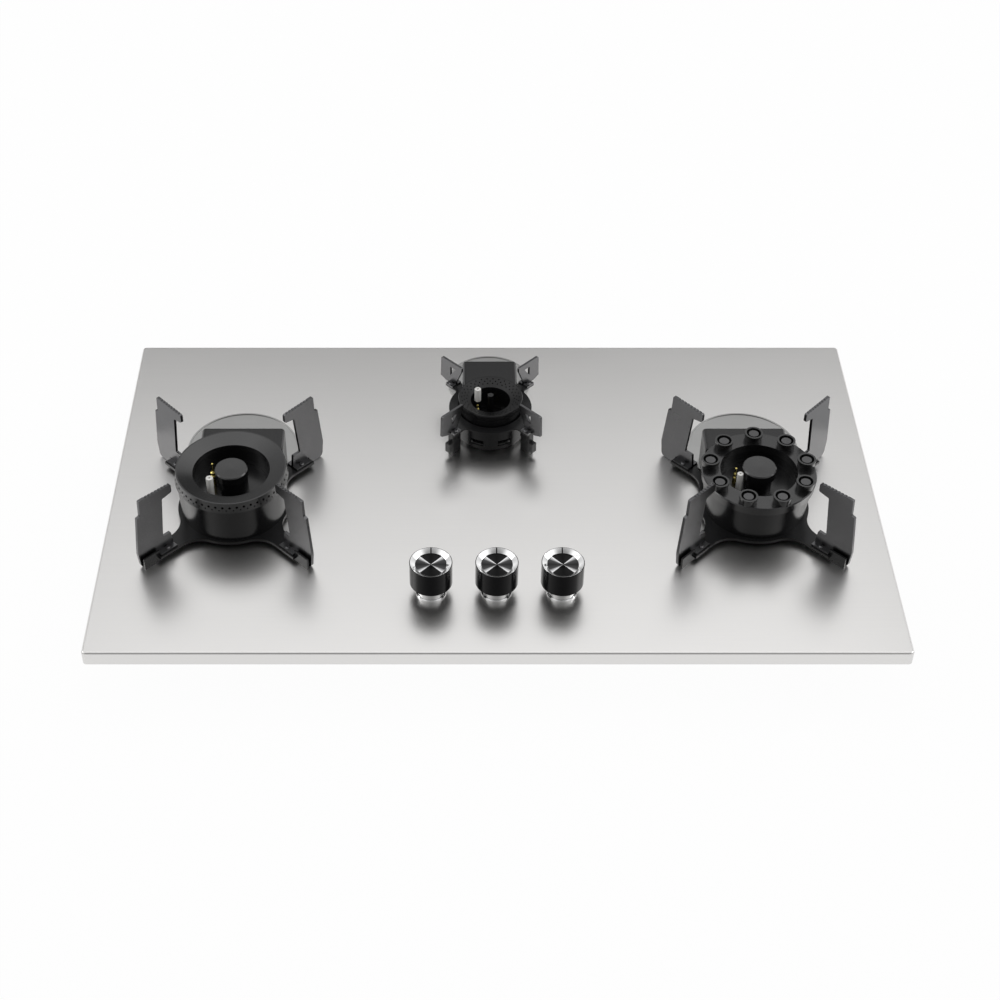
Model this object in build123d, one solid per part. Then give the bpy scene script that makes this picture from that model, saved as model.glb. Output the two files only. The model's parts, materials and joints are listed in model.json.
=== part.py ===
from build123d import *

import os
from math import atan2, cos, degrees, hypot, radians, sin

# Built-in gas hob: a pressed steel top with three burners, fixed pan supports and three push-and-turn
# controls over a shallow casing that holds the valves, gas pipes, spark unit and battery.

# Millimetres. X to the right, Y to the back, Z up. The origin is under the middle of the hob, on the plane
# of the pressed feet. Burner pieces are drawn round their own axis, with Z = 0 on the top face of the hob.

# Pressed top
TOP_WIDTH = 780.0
TOP_DEPTH = 466.0
TOP_HEIGHT = 60.0
SHEET = 1.0
RIM_DEPTH = 15.0
RIM_LIP = 11.0
RIM_EDGE_RADIUS = 2.2
TOP_CORNER_RADIUS = 4.0
SEAL_INSET = 3.0
SEAL_WIDTH = 7.0
SEAL_THICK = 2.0

# Casing under the top
CASING_INSET_X = 45.0
CASING_INSET_Y = 43.0
CASING_CORNER = 10.0
CASING_FLANGE = 12.0
FOOT_HEIGHT = 4.0
FOOT_RADIUS = 11.0
FOOT_DRAFT = 3.0
FOOT_INSET = 55.0
CASING_SCREW_RADIUS = 2.0
CASING_SCREW_HEAD = 3.8
CASING_SCREW_HEAD_HEIGHT = 2.4
CASING_SCREW_COLUMNS = 4
CASING_VENT_COUNT = 9
CASING_VENT_PITCH = 12.0
CASING_VENT_WIDTH = 4.0
CASING_VENT_HEIGHT = 16.0

# Places of burners and controls, from the middle of the top
SIDE_BURNER_FROM_EDGE = 127.5
SIDE_BURNER_FROM_FRONT = 197.5
MIDDLE_BURNER_FROM_BACK = 142.5
MIDDLE_BURNER_X = -2.5
KNOB_FROM_FRONT = 81.0
KNOB_PITCH = 63.0
SIDE_BURNER_X = TOP_WIDTH / 2 - SIDE_BURNER_FROM_EDGE
SIDE_BURNER_Y = SIDE_BURNER_FROM_FRONT - TOP_DEPTH / 2
MIDDLE_BURNER_Y = TOP_DEPTH / 2 - MIDDLE_BURNER_FROM_BACK
KNOB_Y = KNOB_FROM_FRONT - TOP_DEPTH / 2

# Clearances
SEAT_GAP = 0.3
FIT_GAP = 0.05
PANEL_HOLE_GAP = 1.5

# Side burners: drum and duct
DRUM_BASE_RADIUS = 53.0
DRUM_WALL = 3.0
DRUM_FLOOR = 3.0
WELL_RADIUS = 38.4
WELL_STEP = 2.6
RING_DRUM_TOP_Z = 46.7
RING_DRUM_TOP_RADIUS = 55.2
RING_WELL_FLOOR_Z = 31.5
PORT_DRUM_TOP_Z = 44.0
PORT_DRUM_BASE_RADIUS = 50.6
PORT_DRUM_TOP_RADIUS = 54.6
PORT_WELL_FLOOR_Z = 33.0
SIDE_DUCT_WIDTH = 85.0
SIDE_DUCT_OFFSET = 5.0
SIDE_DUCT_TOP_Z = 43.0
SIDE_DUCT_HEIGHT = 28.0
SIDE_DUCT_REACH = 77.5
SIDE_DUCT_DROP = 26.0
DUCT_CORNER = 4.0
DUCT_WALL = 3.0
DUCT_BOTTOM_Z = -45.0
VENTURI_Z = -30.0
VENTURI_RADIUS = 9.0
VENTURI_WALL = 2.5
VENTURI_LENGTH = 62.0
VENTURI_MOUTH_RADIUS = 12.5
SIDE_SPIGOT_RADIUS = 33.0
SPIGOT_WALL = 2.5
SPIGOT_BOTTOM_Z = -8.0

# Left burner: perforated ring and centre cap
RING_TOP_Z = 58.0
RING_TOP_RADIUS = 54.9
RING_BASE_RADIUS = 56.6
RING_THICK = 2.4
RING_RIM_WIDTH = 1.4
RING_MOUTH_Z = 53.2
RING_PORT_COUNT = 50
RING_PORT_LARGE = 1.35
RING_PORT_SMALL = 0.8
RING_PORT_UPPER_Z = 53.2
RING_PORT_LOWER_Z = 50.2
RING_POST_RADIUS = 15.8
RING_CAP_RADIUS = 16.5
CAP_EDGE = 1.0
CAP_DISH = 0.3
RING_CAP_TOP_Z = 56.0
RING_CAP_BASE_Z = 45.8

# Right burner: plate with nine cups and centre cap
HEAD_TOP_Z = 53.4
HEAD_RADIUS = 57.2
HEAD_THICK = 3.0
CUP_COUNT = 9
CUP_CIRCLE = 48.6
CUP_RADIUS = 9.2
CUP_BASE_RADIUS = 8.4
CUP_TOP_Z = 61.0
CUP_BORE = 7.4
CUP_FIRST_ANGLE = 90.0
CUP_LIP_HEIGHT = 1.5
CUP_BORE_DRAFT = 1.0
HEAD_EDGE = 1.0
HEAD_DRAFT = 0.6
PLUG_RADIUS = 4.9
PLUG_TOP_Z = 60.0
PLUG_NECK = 1.0
PLUG_DISC = 2.0
PORT_POST_RADIUS = 14.0
PORT_CAP_RADIUS = 16.9
PORT_CAP_TOP_Z = 58.2
PORT_CAP_BASE_Z = 47.6

# Middle burner
SMALL_DRUM_RADIUS = 33.0
SMALL_DRUM_TOP_Z = 38.2
SMALL_WELL_RADIUS = 20.7
SMALL_WELL_FLOOR_Z = 14.0
SMALL_SPIGOT_RADIUS = 22.5
SMALL_POST_RADIUS = 3.1
SMALL_POST_TOP_Z = 47.0
SMALL_CAP_TOP_Z = 45.3
SMALL_CAP_RADIUS = 33.8
SMALL_CAP_MOUTH_Z = 40.6
SMALL_CAP_THICK = 1.8
SMALL_PORT_ROWS = 3
SMALL_PORT_COUNT = 30
SMALL_PORT_WIDTH = 1.2
SMALL_PORT_FIRST_CIRCLE = 25.0
SMALL_PORT_ROW_STEP = 2.6
SMALL_DUCT_WIDTH = 58.0
SMALL_DUCT_TOP_Z = 38.2
SMALL_DUCT_HEIGHT = 22.0
SMALL_DUCT_REACH = 69.0
SMALL_DUCT_DROP = 22.0

# Discs round the ducts where they pass through the top
SIDE_DISC_RADIUS = 58.0
SIDE_DISC_BEHIND = 91.0
SMALL_DISC_RADIUS = 44.7
SMALL_DISC_BEHIND = 77.5
DISC_THICK = 2.2
DISC_RIM_WIDTH = 1.6
DISC_RIM_HEIGHT = 0.8

# Side pan supports: four upright blades, and the base plate with four arms that carries them
BLADE_THICK = 3.0
BLADE_TOP_Z = 83.5
BLADE_TIP_Z = 82.0
BLADE_TOP_REACH = 111.0
BLADE_TOP_LENGTH = 38.5
BLADE_LAND = 5.0
BLADE_FINGER_DEPTH = 10.0
BLADE_ROOT_INSET = 26.4
BLADE_ROOT_Z = 70.0
BLADE_HEEL_INSET = 21.6
BLADE_NOTCH_Z = 65.0
BLADE_NOTCH_DEPTH = 3.8
BLADE_FOOT_FLARE = 7.5
BLADE_BELLY_FLARE = 9.5
BLADE_BELLY_Z = 20.0
BLADE_FOOT_RADIUS = 6.0
BLADE_FLOOR_GAP = 0.4
BLADE_OUTER_DRAFT = 1.0
BLADE_TIP_RADIUS = 2.2
BLADE_BELLY_RADIUS = 12.0
BLADE_CORNER_RADIUS = 1.2
LUG_DRAFT = 1.5
BLADE_TIP_REACH = BLADE_TOP_REACH - BLADE_TOP_LENGTH
BLADE_ROOT_REACH = BLADE_TOP_REACH - BLADE_ROOT_INSET
BLADE_HEEL_REACH = BLADE_TOP_REACH - BLADE_HEEL_INSET
BLADE_FOOT_REACH = BLADE_TOP_REACH + BLADE_FOOT_FLARE
BLADE_BELLY_REACH = BLADE_TOP_REACH + BLADE_BELLY_FLARE
TOOTH_COUNT = 8
TOOTH_DEPTH = 0.7
CHEEK_SETBACK = 1.0
CHEEK_LENGTH = 17.0
CHEEK_TOP_Z = 13.5
CHEEK_THICK = 2.0
CHEEK_GAP = 2.0
CHEEK_OUTER = BLADE_FOOT_REACH - CHEEK_SETBACK
CHEEK_INNER = CHEEK_OUTER - CHEEK_LENGTH
BASE_TOP_Z = 7.5
BASE_THICK = 3.0
BASE_RADIUS = 56.0
BASE_HOLE_GAP = 2.5
BASE_HOLE_RADIUS = SIDE_SPIGOT_RADIUS + BASE_HOLE_GAP
BASE_COLLAR = 3.0
ARM_HALF_WIDTH = 9.0
ARM_LENGTH = CHEEK_INNER
ARM_FILLET = 26.0
FIRST_ARM_ANGLE = 45.0
ARM_COUNT = 4
FOOT_PLATE_HALF_WIDTH = 7.6
FOOT_PLATE_LENGTH = 20.0
FOOT_PLATE_SETBACK = 2.0
FOOT_PLATE_OUTER = ARM_LENGTH - FOOT_PLATE_SETBACK
FOOT_PLATE_THICK = 2.0
LUG_REACH = FOOT_PLATE_OUTER - FOOT_PLATE_LENGTH
LUG_TOP_Z = 23.5
SUPPORT_SCREW_INSET = 9.0
SUPPORT_SCREW_REACH = LUG_REACH + SUPPORT_SCREW_INSET
SUPPORT_SCREW_RADIUS = 1.5
SUPPORT_SCREW_HEAD = 2.6
SUPPORT_SCREW_HEAD_HEIGHT = 1.6
LEFT_SUPPORT_SHIFT = (-1.0, 0.0)
RIGHT_SUPPORT_SHIFT = (-1.0, 1.2)

# Middle pan support: tray with skirt and legs, and four small blades
TRAY_TOP_Z = 31.0
TRAY_THICK = 1.5
TRAY_RADIUS = 43.5
TRAY_HOLE_RADIUS = 34.4
SKIRT_RADIUS = 37.7
SKIRT_BOTTOM_Z = 3.4
WINDOW_COUNT = 8
WINDOW_WIDTH = 14.5
WINDOW_BOTTOM_Z = 8.0
WINDOW_TOP_Z = 15.0
TRAY_ARM_LENGTH = 60.0
TRAY_ARM_HALF_WIDTH = 6.5
LEG_OUTER = 59.5
LEG_INNER = 45.5
BACK_LEG_OUTER = 50.0
LEG_THICK = 2.0
LEG_FOOT_REACH = 64.0
LEG_FOOT_HALF_WIDTH = 3.0
LEG_FOOT_BOTTOM_Z = 7.0
LEG_FOOT_TOP_Z = 18.0
SMALL_BLADE_THICK = 2.5
SMALL_BLADE_TOP_Z = 59.0
SMALL_BLADE_TIP_DEPTH = 5.0
SMALL_BLADE_TIP_REACH = 41.5
SMALL_BLADE_TOP_REACH = 72.0
SMALL_BLADE_FOOT_REACH = 73.0
SMALL_BLADE_WINDOW_REACH = 58.5
SMALL_BLADE_INNER = 50.0
SMALL_BLADE_HEEL = 3.0
SMALL_BLADE_CUT = 8.0
SMALL_BLADE_BAND = 6.5
SMALL_WINDOW_WIDTH = 8.0
SMALL_WINDOW_HEIGHT = 11.0
SMALL_SCREW_RADIUS = 1.5
SMALL_SCREW_HEAD = 2.5
SMALL_SCREW_HEAD_HEIGHT = 1.4
SMALL_SCREW_REACH = 55.0

# Electrodes and thermocouples: place from the burner axis, and heights
CERAMIC_BASE_DROP = 6.0
ELECTRODE_TIP_RADIUS = 1.0
ELECTRODE_TIP_HEIGHT = 2.5
NEEDLE_RADIUS = 1.0
CERAMIC_CHAMFER = 1.0
SENSOR_HEAD_HEIGHT = 5.0
SENSOR_GROOVE = (0.8, 2.2, 3.0, 4.2)
SENSOR_WAIST = 0.7
SENSOR_NOSE = 0.9
LEFT_ELECTRODE = {"x": -19.8, "y": -15.8, "radius": 3.7, "top": 55.0}
RIGHT_ELECTRODE = {"x": -19.6, "y": -7.2, "radius": 3.2, "top": 53.0}
MIDDLE_ELECTRODE = {"x": -13.3, "y": 4.5, "radius": 3.5, "top": 49.0}
LEFT_THERMOCOUPLE = {"x": -19.0, "y": 5.0, "radius": 3.2, "top": 47.5, "tip": 57.5}
RIGHT_THERMOCOUPLE = {"x": -22.0, "y": 4.5, "radius": 2.6, "top": 46.0, "tip": 52.0}
MIDDLE_THERMOCOUPLE = {"x": -13.5, "y": -6.5, "radius": 2.2, "top": 34.0, "tip": 38.5}

# Controls
KNOB_RADIUS = 20.6
KNOB_BOTTOM_Z = 14.0
KNOB_TOP_Z = 40.0
KNOB_WALL = 2.6
KNOB_FACE_RADIUS = 20.1
KNOB_FACE_INNER = 15.1
KNOB_FACE_DROP = 2.7
KNOB_FACE_THICK = 1.8
KNOB_BOSS_RADIUS = 7.5
KNOB_EDGE_RADIUS = 0.6
KNOB_SKIRT = 2.0
KNOB_DISC_STEP = 0.4
POINTER_WIDTH = 1.2
POINTER_DEPTH = 0.4
KNOB_PRESS = 4.0
BEZEL_FLANGE_RADIUS = 14.8
BEZEL_FLANGE_HEIGHT = 2.0
BEZEL_SLEEVE_RADIUS = 13.4
BEZEL_HEIGHT = 8.5
BEZEL_GROOVE = 0.8
BEZEL_CHAMFER = 0.8
BEZEL_SPIGOT_RADIUS = 11.8
BEZEL_SPIGOT_DEPTH = 4.0
BEZEL_BORE = 6.0
SPINDLE_RADIUS = 4.0
SPINDLE_TOP_Z = 32.0
SPINDLE_BOTTOM_Z = -32.5
PLUNGER_RADIUS = 2.5
PLUNGER_LENGTH = 13.0

# Valves, rail, inlet and pipes
VALVE_WIDTH = 26.0
VALVE_BACK_Y = KNOB_Y + VALVE_WIDTH / 2
VALVE_BOTTOM_Z = 8.0
VALVE_TOP_Z = 46.0
VALVE_CHAMFER = 2.0
VALVE_SOCKET = 6.0
VALVE_COLLAR_RADIUS = 9.0
VALVE_COLLAR_TOP_Z = 50.0
MAGNET_RADIUS = 8.0
MAGNET_LENGTH = 16.0
MAGNET_INSET = 4.0
RAIL_RADIUS = 8.0
RAIL_BORE = 6.5
RAIL_FROM_KNOBS = 25.0
RAIL_Y = KNOB_Y - RAIL_FROM_KNOBS
RAIL_Z = 27.0
RAIL_OVERHANG = 37.0
RAIL_LEFT_END = -KNOB_PITCH - RAIL_OVERHANG
RAIL_FROM_WALL = 26.0
RAIL_BEND = 18.0
RAIL_PLUG = 3.0
SADDLE_WIDTH = 14.0
SADDLE_HALF_DEPTH = 10.5
SADDLE_WALL = 2.5
SADDLE_END_GAP = 5.0
SADDLE_SHARES = (0.32, 0.73)
PIPE_RADIUS = 4.0
PIPE_BORE = 3.0
PIPE_BEND = 22.0
PIPE_RUN = 35.0
PIPE_TURN_Y = VALVE_BACK_Y + PIPE_RUN
INJECTOR_GAP = 6.0
INJECTOR_RADIUS = 6.0
INJECTOR_LENGTH = 14.0
INJECTOR_JET = 0.8
INJECTOR_JET_LENGTH = 3.0
INJECTOR_CONE = 3.0
INJECTOR_TAPER = 2.0
INJECTOR_NOSE = 0.6
INLET_THREAD_RADIUS = 10.48
INLET_THREAD_LENGTH = 19.0
INLET_COLLAR_RADIUS = 11.5
INLET_COLLAR_PROUD = 1.0
INLET_CHAMFER = 1.0
INLET_HEX = 27.0
INLET_HEX_LENGTH = 12.0
INLET_BORE = 7.0

# Battery box, cell and sliding lid
CELL_RADIUS = 16.6
CELL_LENGTH = 60.0
CELL_STUD_RADIUS = 5.0
CELL_STUD_LENGTH = 1.5
CELL_CHAMFER = 0.8
BATTERY_X = -150.0
BATTERY_BEHIND_KNOBS = 5.0
BATTERY_Y = KNOB_Y + BATTERY_BEHIND_KNOBS
BATTERY_WALL = 1.6
BATTERY_WIDTH = 44.0
BATTERY_LENGTH = 78.0
BATTERY_TOP_Z = 42.5
BATTERY_FLANGE = 6.0
LID_THICK = 1.6
LID_TOP_Z = 3.5
LID_RAIL_LIP = 1.6
LID_RAIL_THICK = 0.8
LID_GRIP_COUNT = 4
LID_GRIP_INSET = 8.0
LID_GRIP_PITCH = 2.5
LID_GRIP_WIDTH = 1.2
LID_GRIP_DEPTH = 0.6

# Spark unit
SPARK_X = -120.0
SPARK_Y = 70.0
SPARK_WIDTH = 78.0
SPARK_DEPTH = 46.0
SPARK_HEIGHT = 26.0
SPARK_TERMINALS = 3
SPARK_CORNER = 3.0
SPARK_EAR_REACH = 10.0
SPARK_EAR_WIDTH = 14.0
SPARK_EAR_THICK = 3.0
SPARK_POST_RADIUS = 5.0
SPARK_POST_HEIGHT = 8.0
SPARK_PIN_RADIUS = 2.5

# Hold-down brackets
BRACKET_FROM_CORNER = 80.0
BRACKET_WIDTH = 30.0
BRACKET_THICK = 2.0
BRACKET_HEIGHT = 20.0
BRACKET_REACH = 36.0
BRACKET_Z = 8.0
CLAMP_SCREW_RADIUS = 2.5
CLAMP_SCREW_LENGTH = 20.0

SIDE_SCREW_SPREAD = (FOOT_PLATE_HALF_WIDTH + BLADE_THICK / 2) / 2
SMALL_SCREW_SPREAD = (TRAY_ARM_HALF_WIDTH + SMALL_BLADE_THICK / 2) / 2
CASING_WIDTH = TOP_WIDTH - 2 * CASING_INSET_X
CASING_DEPTH = TOP_DEPTH - 2 * CASING_INSET_Y
CASING_FLOOR_Z = FOOT_HEIGHT + SHEET
BRACKET_Y = CASING_DEPTH / 2 - BRACKET_FROM_CORNER
RAIL_RETURN_X = CASING_WIDTH / 2 - RAIL_FROM_WALL
UNDER_TOP_Z = TOP_HEIGHT - SHEET
RIM_BOTTOM_Z = TOP_HEIGHT - RIM_DEPTH
PIPE_Z = TOP_HEIGHT + VENTURI_Z

LEFT_PLACE = Location((-SIDE_BURNER_X, SIDE_BURNER_Y, TOP_HEIGHT))
RIGHT_PLACE = Location((SIDE_BURNER_X, SIDE_BURNER_Y, TOP_HEIGHT))
MIDDLE_PLACE = Location((MIDDLE_BURNER_X, MIDDLE_BURNER_Y, TOP_HEIGHT))


def block(x_low, x_high, y_low, y_high, z_low, z_high):
    """A plain box between two corners."""
    size = (x_high - x_low, y_high - y_low, z_high - z_low)
    centre = ((x_low + x_high) / 2, (y_low + y_high) / 2, (z_low + z_high) / 2)
    return Pos(*centre) * Box(*size)


def rod(radius, z_low, z_high, x=0.0, y=0.0):
    """An upright round bar."""
    return Pos(x, y, (z_low + z_high) / 2) * Cylinder(radius, z_high - z_low)


def bar_along_y(radius, y_low, y_high, x, z):
    """A round bar that lies along Y."""
    return Pos(x, (y_low + y_high) / 2, z) * Rot(90, 0, 0) * Cylinder(radius, y_high - y_low)


def washer(outer, inner, z_low, z_high, x=0.0, y=0.0):
    """A round ring with a square section."""
    return rod(outer, z_low, z_high, x, y) - rod(inner, z_low - 1, z_high + 1, x, y)


def turned(points):
    """A solid of revolution about Z from an outline of (radius, height) points."""
    outline = make_face(Plane.XZ * Polyline(*points, close=True))
    return revolve(outline, Axis.Z)


def rounded_plate(width, depth, radius, z_low, z_high, x=0.0, y=0.0):
    """A flat plate with round corners."""
    plate = extrude(RectangleRounded(width, depth, radius), z_high - z_low)
    return Pos(x, y, z_low) * plate


def around(piece, count, first_angle):
    """Copies of a piece turned about Z in equal steps."""
    step = 360 / count
    return [Rot(0, 0, first_angle + i * step) * piece for i in range(count)]


def group(pieces):
    """Several separate solids kept as one node."""
    solids = []
    for piece in pieces:
        solids.extend(piece.solids())
    return Compound(children=solids)


def soft_corners(face, corners):
    """Round the corners of a flat outline that lie nearest to the given (x, y, radius) triples."""
    for x, y, radius in corners:
        vertex = face.vertices().sort_by_distance((x, y, 0))[0]
        face = fillet(vertex, radius)
    return face


def pipe(points, bend, radius, bore):
    """A tube along straight runs with round bends."""
    path = FilletPolyline(*points, radius=bend) if len(points) > 2 else Line(*points)
    section = Circle(radius) - Circle(bore)
    return sweep(Plane(origin=path @ 0, z_dir=path % 0) * section, path)


def panel_hole_columns():
    """Centres of the three controls along X."""
    return [-KNOB_PITCH, 0.0, KNOB_PITCH]


def duct_opening(width, drop, reach, gap):
    """The part of the top, round one burner's axis, that its down-duct passes through."""
    low = -SHEET - 1
    return rounded_plate(
        width + 2 * gap, drop + 2 * gap, gap, low, 1.0, 0, reach - drop / 2
    )


def make_top_panel():
    """Pressed top: flat face, turned-down rim with a return lip, and its openings."""
    outer = rounded_plate(TOP_WIDTH, TOP_DEPTH, TOP_CORNER_RADIUS, RIM_BOTTOM_Z, TOP_HEIGHT)
    outer = fillet(outer.faces().sort_by(Axis.Z)[-1].edges(), RIM_EDGE_RADIUS)
    inner_width = TOP_WIDTH - 2 * SHEET
    inner_depth = TOP_DEPTH - 2 * SHEET
    inner_radius = TOP_CORNER_RADIUS - SHEET
    inner = rounded_plate(
        inner_width, inner_depth, inner_radius, RIM_BOTTOM_Z + SHEET, UNDER_TOP_Z
    )
    inner = fillet(inner.faces().sort_by(Axis.Z)[-1].edges(), RIM_EDGE_RADIUS - SHEET)
    lip_width = TOP_WIDTH - 2 * RIM_LIP
    lip_depth = TOP_DEPTH - 2 * RIM_LIP
    mouth = rounded_plate(
        lip_width, lip_depth, TOP_CORNER_RADIUS, RIM_BOTTOM_Z - 1, RIM_BOTTOM_Z + 2 * SHEET
    )
    panel = outer - inner - mouth
    side = duct_opening(SIDE_DUCT_WIDTH, SIDE_DUCT_DROP, SIDE_DUCT_REACH, PANEL_HOLE_GAP)
    small = duct_opening(SMALL_DUCT_WIDTH, SMALL_DUCT_DROP, SMALL_DUCT_REACH, PANEL_HOLE_GAP)
    side_hole = rod(SIDE_SPIGOT_RADIUS + PANEL_HOLE_GAP, -SHEET - 1, 1)
    small_hole = rod(SMALL_SPIGOT_RADIUS + PANEL_HOLE_GAP, -SHEET - 1, 1)
    for place, offset in ((LEFT_PLACE, SIDE_DUCT_OFFSET), (RIGHT_PLACE, -SIDE_DUCT_OFFSET)):
        panel -= place * Pos(offset, 0, 0) * side
        panel -= place * side_hole
    panel -= MIDDLE_PLACE * small
    panel -= MIDDLE_PLACE * small_hole
    for x in panel_hole_columns():
        hole_radius = BEZEL_SPIGOT_RADIUS + FIT_GAP
        panel -= rod(hole_radius, UNDER_TOP_Z - 1, TOP_HEIGHT + 1, x, KNOB_Y)
    return panel


def make_seal_strip():
    """Foam strip under the rim, which the worktop touches."""
    outer_width = TOP_WIDTH - 2 * SEAL_INSET
    outer_depth = TOP_DEPTH - 2 * SEAL_INSET
    low = RIM_BOTTOM_Z - SEAL_THICK
    outer = rounded_plate(outer_width, outer_depth, TOP_CORNER_RADIUS, low, RIM_BOTTOM_Z)
    inner_width = outer_width - 2 * SEAL_WIDTH
    inner_depth = outer_depth - 2 * SEAL_WIDTH
    inner = rounded_plate(
        inner_width, inner_depth, TOP_CORNER_RADIUS, low - 1, RIM_BOTTOM_Z + 1
    )
    return outer - inner


def casing_screw_places():
    """Screws along the front and back flange, and one at each end."""
    half_width = CASING_WIDTH / 2
    flange_middle = CASING_DEPTH / 2 + CASING_FLANGE / 2
    step = CASING_WIDTH / CASING_SCREW_COLUMNS
    places = []
    for i in range(CASING_SCREW_COLUMNS):
        x = -half_width + step * (i + 0.5)
        places.append((x, -flange_middle))
        places.append((x, flange_middle))
    places.append((-half_width - CASING_FLANGE / 2, 0))
    places.append((half_width + CASING_FLANGE / 2, 0))
    return places


def foot_places():
    """Centres of the four pressed feet."""
    x = CASING_WIDTH / 2 - FOOT_INSET
    y = CASING_DEPTH / 2 - FOOT_INSET
    return [(-x, -y), (x, -y), (-x, y), (x, y)]


def make_casing():
    """Open-topped sheet casing with a flange, pressed feet, vents and openings."""
    radius = CASING_CORNER
    shell = rounded_plate(CASING_WIDTH, CASING_DEPTH, radius, FOOT_HEIGHT, UNDER_TOP_Z)
    flange_width = CASING_WIDTH + 2 * CASING_FLANGE
    flange_depth = CASING_DEPTH + 2 * CASING_FLANGE
    flange_low = UNDER_TOP_Z - SHEET
    shell += rounded_plate(flange_width, flange_depth, radius, flange_low, UNDER_TOP_Z)
    inner_width = CASING_WIDTH - 2 * SHEET
    inner_depth = CASING_DEPTH - 2 * SHEET
    shell -= rounded_plate(
        inner_width, inner_depth, radius - SHEET, CASING_FLOOR_Z, UNDER_TOP_Z + 1
    )
    foot_outer = [(0, 0), (FOOT_RADIUS - FOOT_DRAFT, 0), (FOOT_RADIUS, FOOT_HEIGHT)]
    foot_outer += [(FOOT_RADIUS, CASING_FLOOR_Z), (0, CASING_FLOOR_Z)]
    hollow_radius = FOOT_RADIUS - SHEET
    foot_inner = [(0, SHEET), (hollow_radius - FOOT_DRAFT, SHEET), (hollow_radius, FOOT_HEIGHT)]
    foot_inner += [(hollow_radius, CASING_FLOOR_Z + 1), (0, CASING_FLOOR_Z + 1)]
    foot = turned(foot_outer)
    hollow = turned(foot_inner)
    for x, y in foot_places():
        shell += Pos(x, y, 0) * foot
        shell -= Pos(x, y, 0) * hollow
    hole_low = flange_low - 1
    for x, y in casing_screw_places():
        shell -= rod(CASING_SCREW_RADIUS, hole_low, UNDER_TOP_Z + 1, x, y)
    floor_low = FOOT_HEIGHT - 1
    floor_high = CASING_FLOOR_Z + 1
    half_width = BATTERY_WIDTH / 2 + SEAT_GAP
    half_length = BATTERY_LENGTH / 2 + SEAT_GAP
    x_low, x_high = BATTERY_X - half_width, BATTERY_X + half_width
    y_low, y_high = BATTERY_Y - half_length, BATTERY_Y + half_length
    shell -= block(x_low, x_high, y_low, y_high, floor_low, floor_high)
    back = CASING_DEPTH / 2
    shell -= bar_along_y(INLET_COLLAR_RADIUS, back - 5, back + 5, RAIL_RETURN_X, RAIL_Z)
    first = -CASING_VENT_PITCH * (CASING_VENT_COUNT - 1) / 2
    slot_low = CASING_FLOOR_Z + CASING_VENT_HEIGHT / 2
    for i in range(CASING_VENT_COUNT):
        x = first + i * CASING_VENT_PITCH
        left, right = x - CASING_VENT_WIDTH / 2, x + CASING_VENT_WIDTH / 2
        shell -= block(left, right, back - 5, back + 5, slot_low, slot_low + CASING_VENT_HEIGHT)
    return shell


def make_casing_screws():
    """Pan-head screws that hold the casing's flange up to the top."""
    head_top = UNDER_TOP_Z - SHEET
    screws = []
    for x, y in casing_screw_places():
        head_low = head_top - CASING_SCREW_HEAD_HEIGHT
        screw = rod(CASING_SCREW_HEAD, head_low, head_top, x, y)
        screw += rod(CASING_SCREW_RADIUS, head_top, UNDER_TOP_Z, x, y)
        screws.append(screw)
    return group(screws)


def make_clamp_brackets():
    """Z brackets on the casing's sides, each with an upright clamp screw."""
    wall_x = CASING_WIDTH / 2
    half = BRACKET_WIDTH / 2
    leaf_top = BRACKET_Z + BRACKET_THICK
    pieces = []
    for side in (-1, 1):
        for y in (-BRACKET_Y, BRACKET_Y):
            face_x = side * wall_x
            plate_x = side * (wall_x + BRACKET_THICK)
            end_x = side * (wall_x + BRACKET_REACH)
            plate_low, plate_high = sorted((face_x, plate_x))
            leaf_low, leaf_high = sorted((face_x, end_x))
            top = BRACKET_Z + BRACKET_HEIGHT
            bracket = block(plate_low, plate_high, y - half, y + half, BRACKET_Z, top)
            bracket += block(leaf_low, leaf_high, y - half, y + half, BRACKET_Z, leaf_top)
            screw_x = side * (wall_x + BRACKET_REACH - 3 * CLAMP_SCREW_RADIUS)
            bracket -= rod(CLAMP_SCREW_RADIUS, BRACKET_Z - 1, leaf_top + 1, screw_x, y)
            screw_low = BRACKET_Z - 2 * CLAMP_SCREW_RADIUS
            screw = rod(CLAMP_SCREW_RADIUS, screw_low, screw_low + CLAMP_SCREW_LENGTH, screw_x, y)
            pieces.extend([bracket, screw])
    return group(pieces)


def make_duct(width, height, top_z, reach, drop, offset, start_y):
    """Outer and inner solids of a flat duct that runs back from a drum and turns down."""
    low = top_z - height
    outer = block(-width / 2, width / 2, start_y, reach, low, top_z)
    outer += block(-width / 2, width / 2, reach - drop, reach, DUCT_BOTTOM_Z, top_z)
    long_edges = outer.edges().filter_by(Axis.Y).group_by(Axis.Z)[-1]
    outer = fillet(long_edges, DUCT_CORNER)
    back_edges = outer.edges().filter_by(Axis.Z).group_by(Axis.Y)[-1]
    outer = fillet(back_edges, DUCT_CORNER / 2)
    half = width / 2 - DUCT_WALL
    inner = block(-half, half, start_y - 1, reach - DUCT_WALL, low + DUCT_WALL, top_z - DUCT_WALL)
    inner_front = reach - drop + DUCT_WALL
    inner_low = DUCT_BOTTOM_Z + DUCT_WALL
    inner += block(-half, half, inner_front, reach - DUCT_WALL, inner_low, top_z - DUCT_WALL)
    aside = Pos(offset, 0, 0)
    return aside * outer, aside * inner


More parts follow.
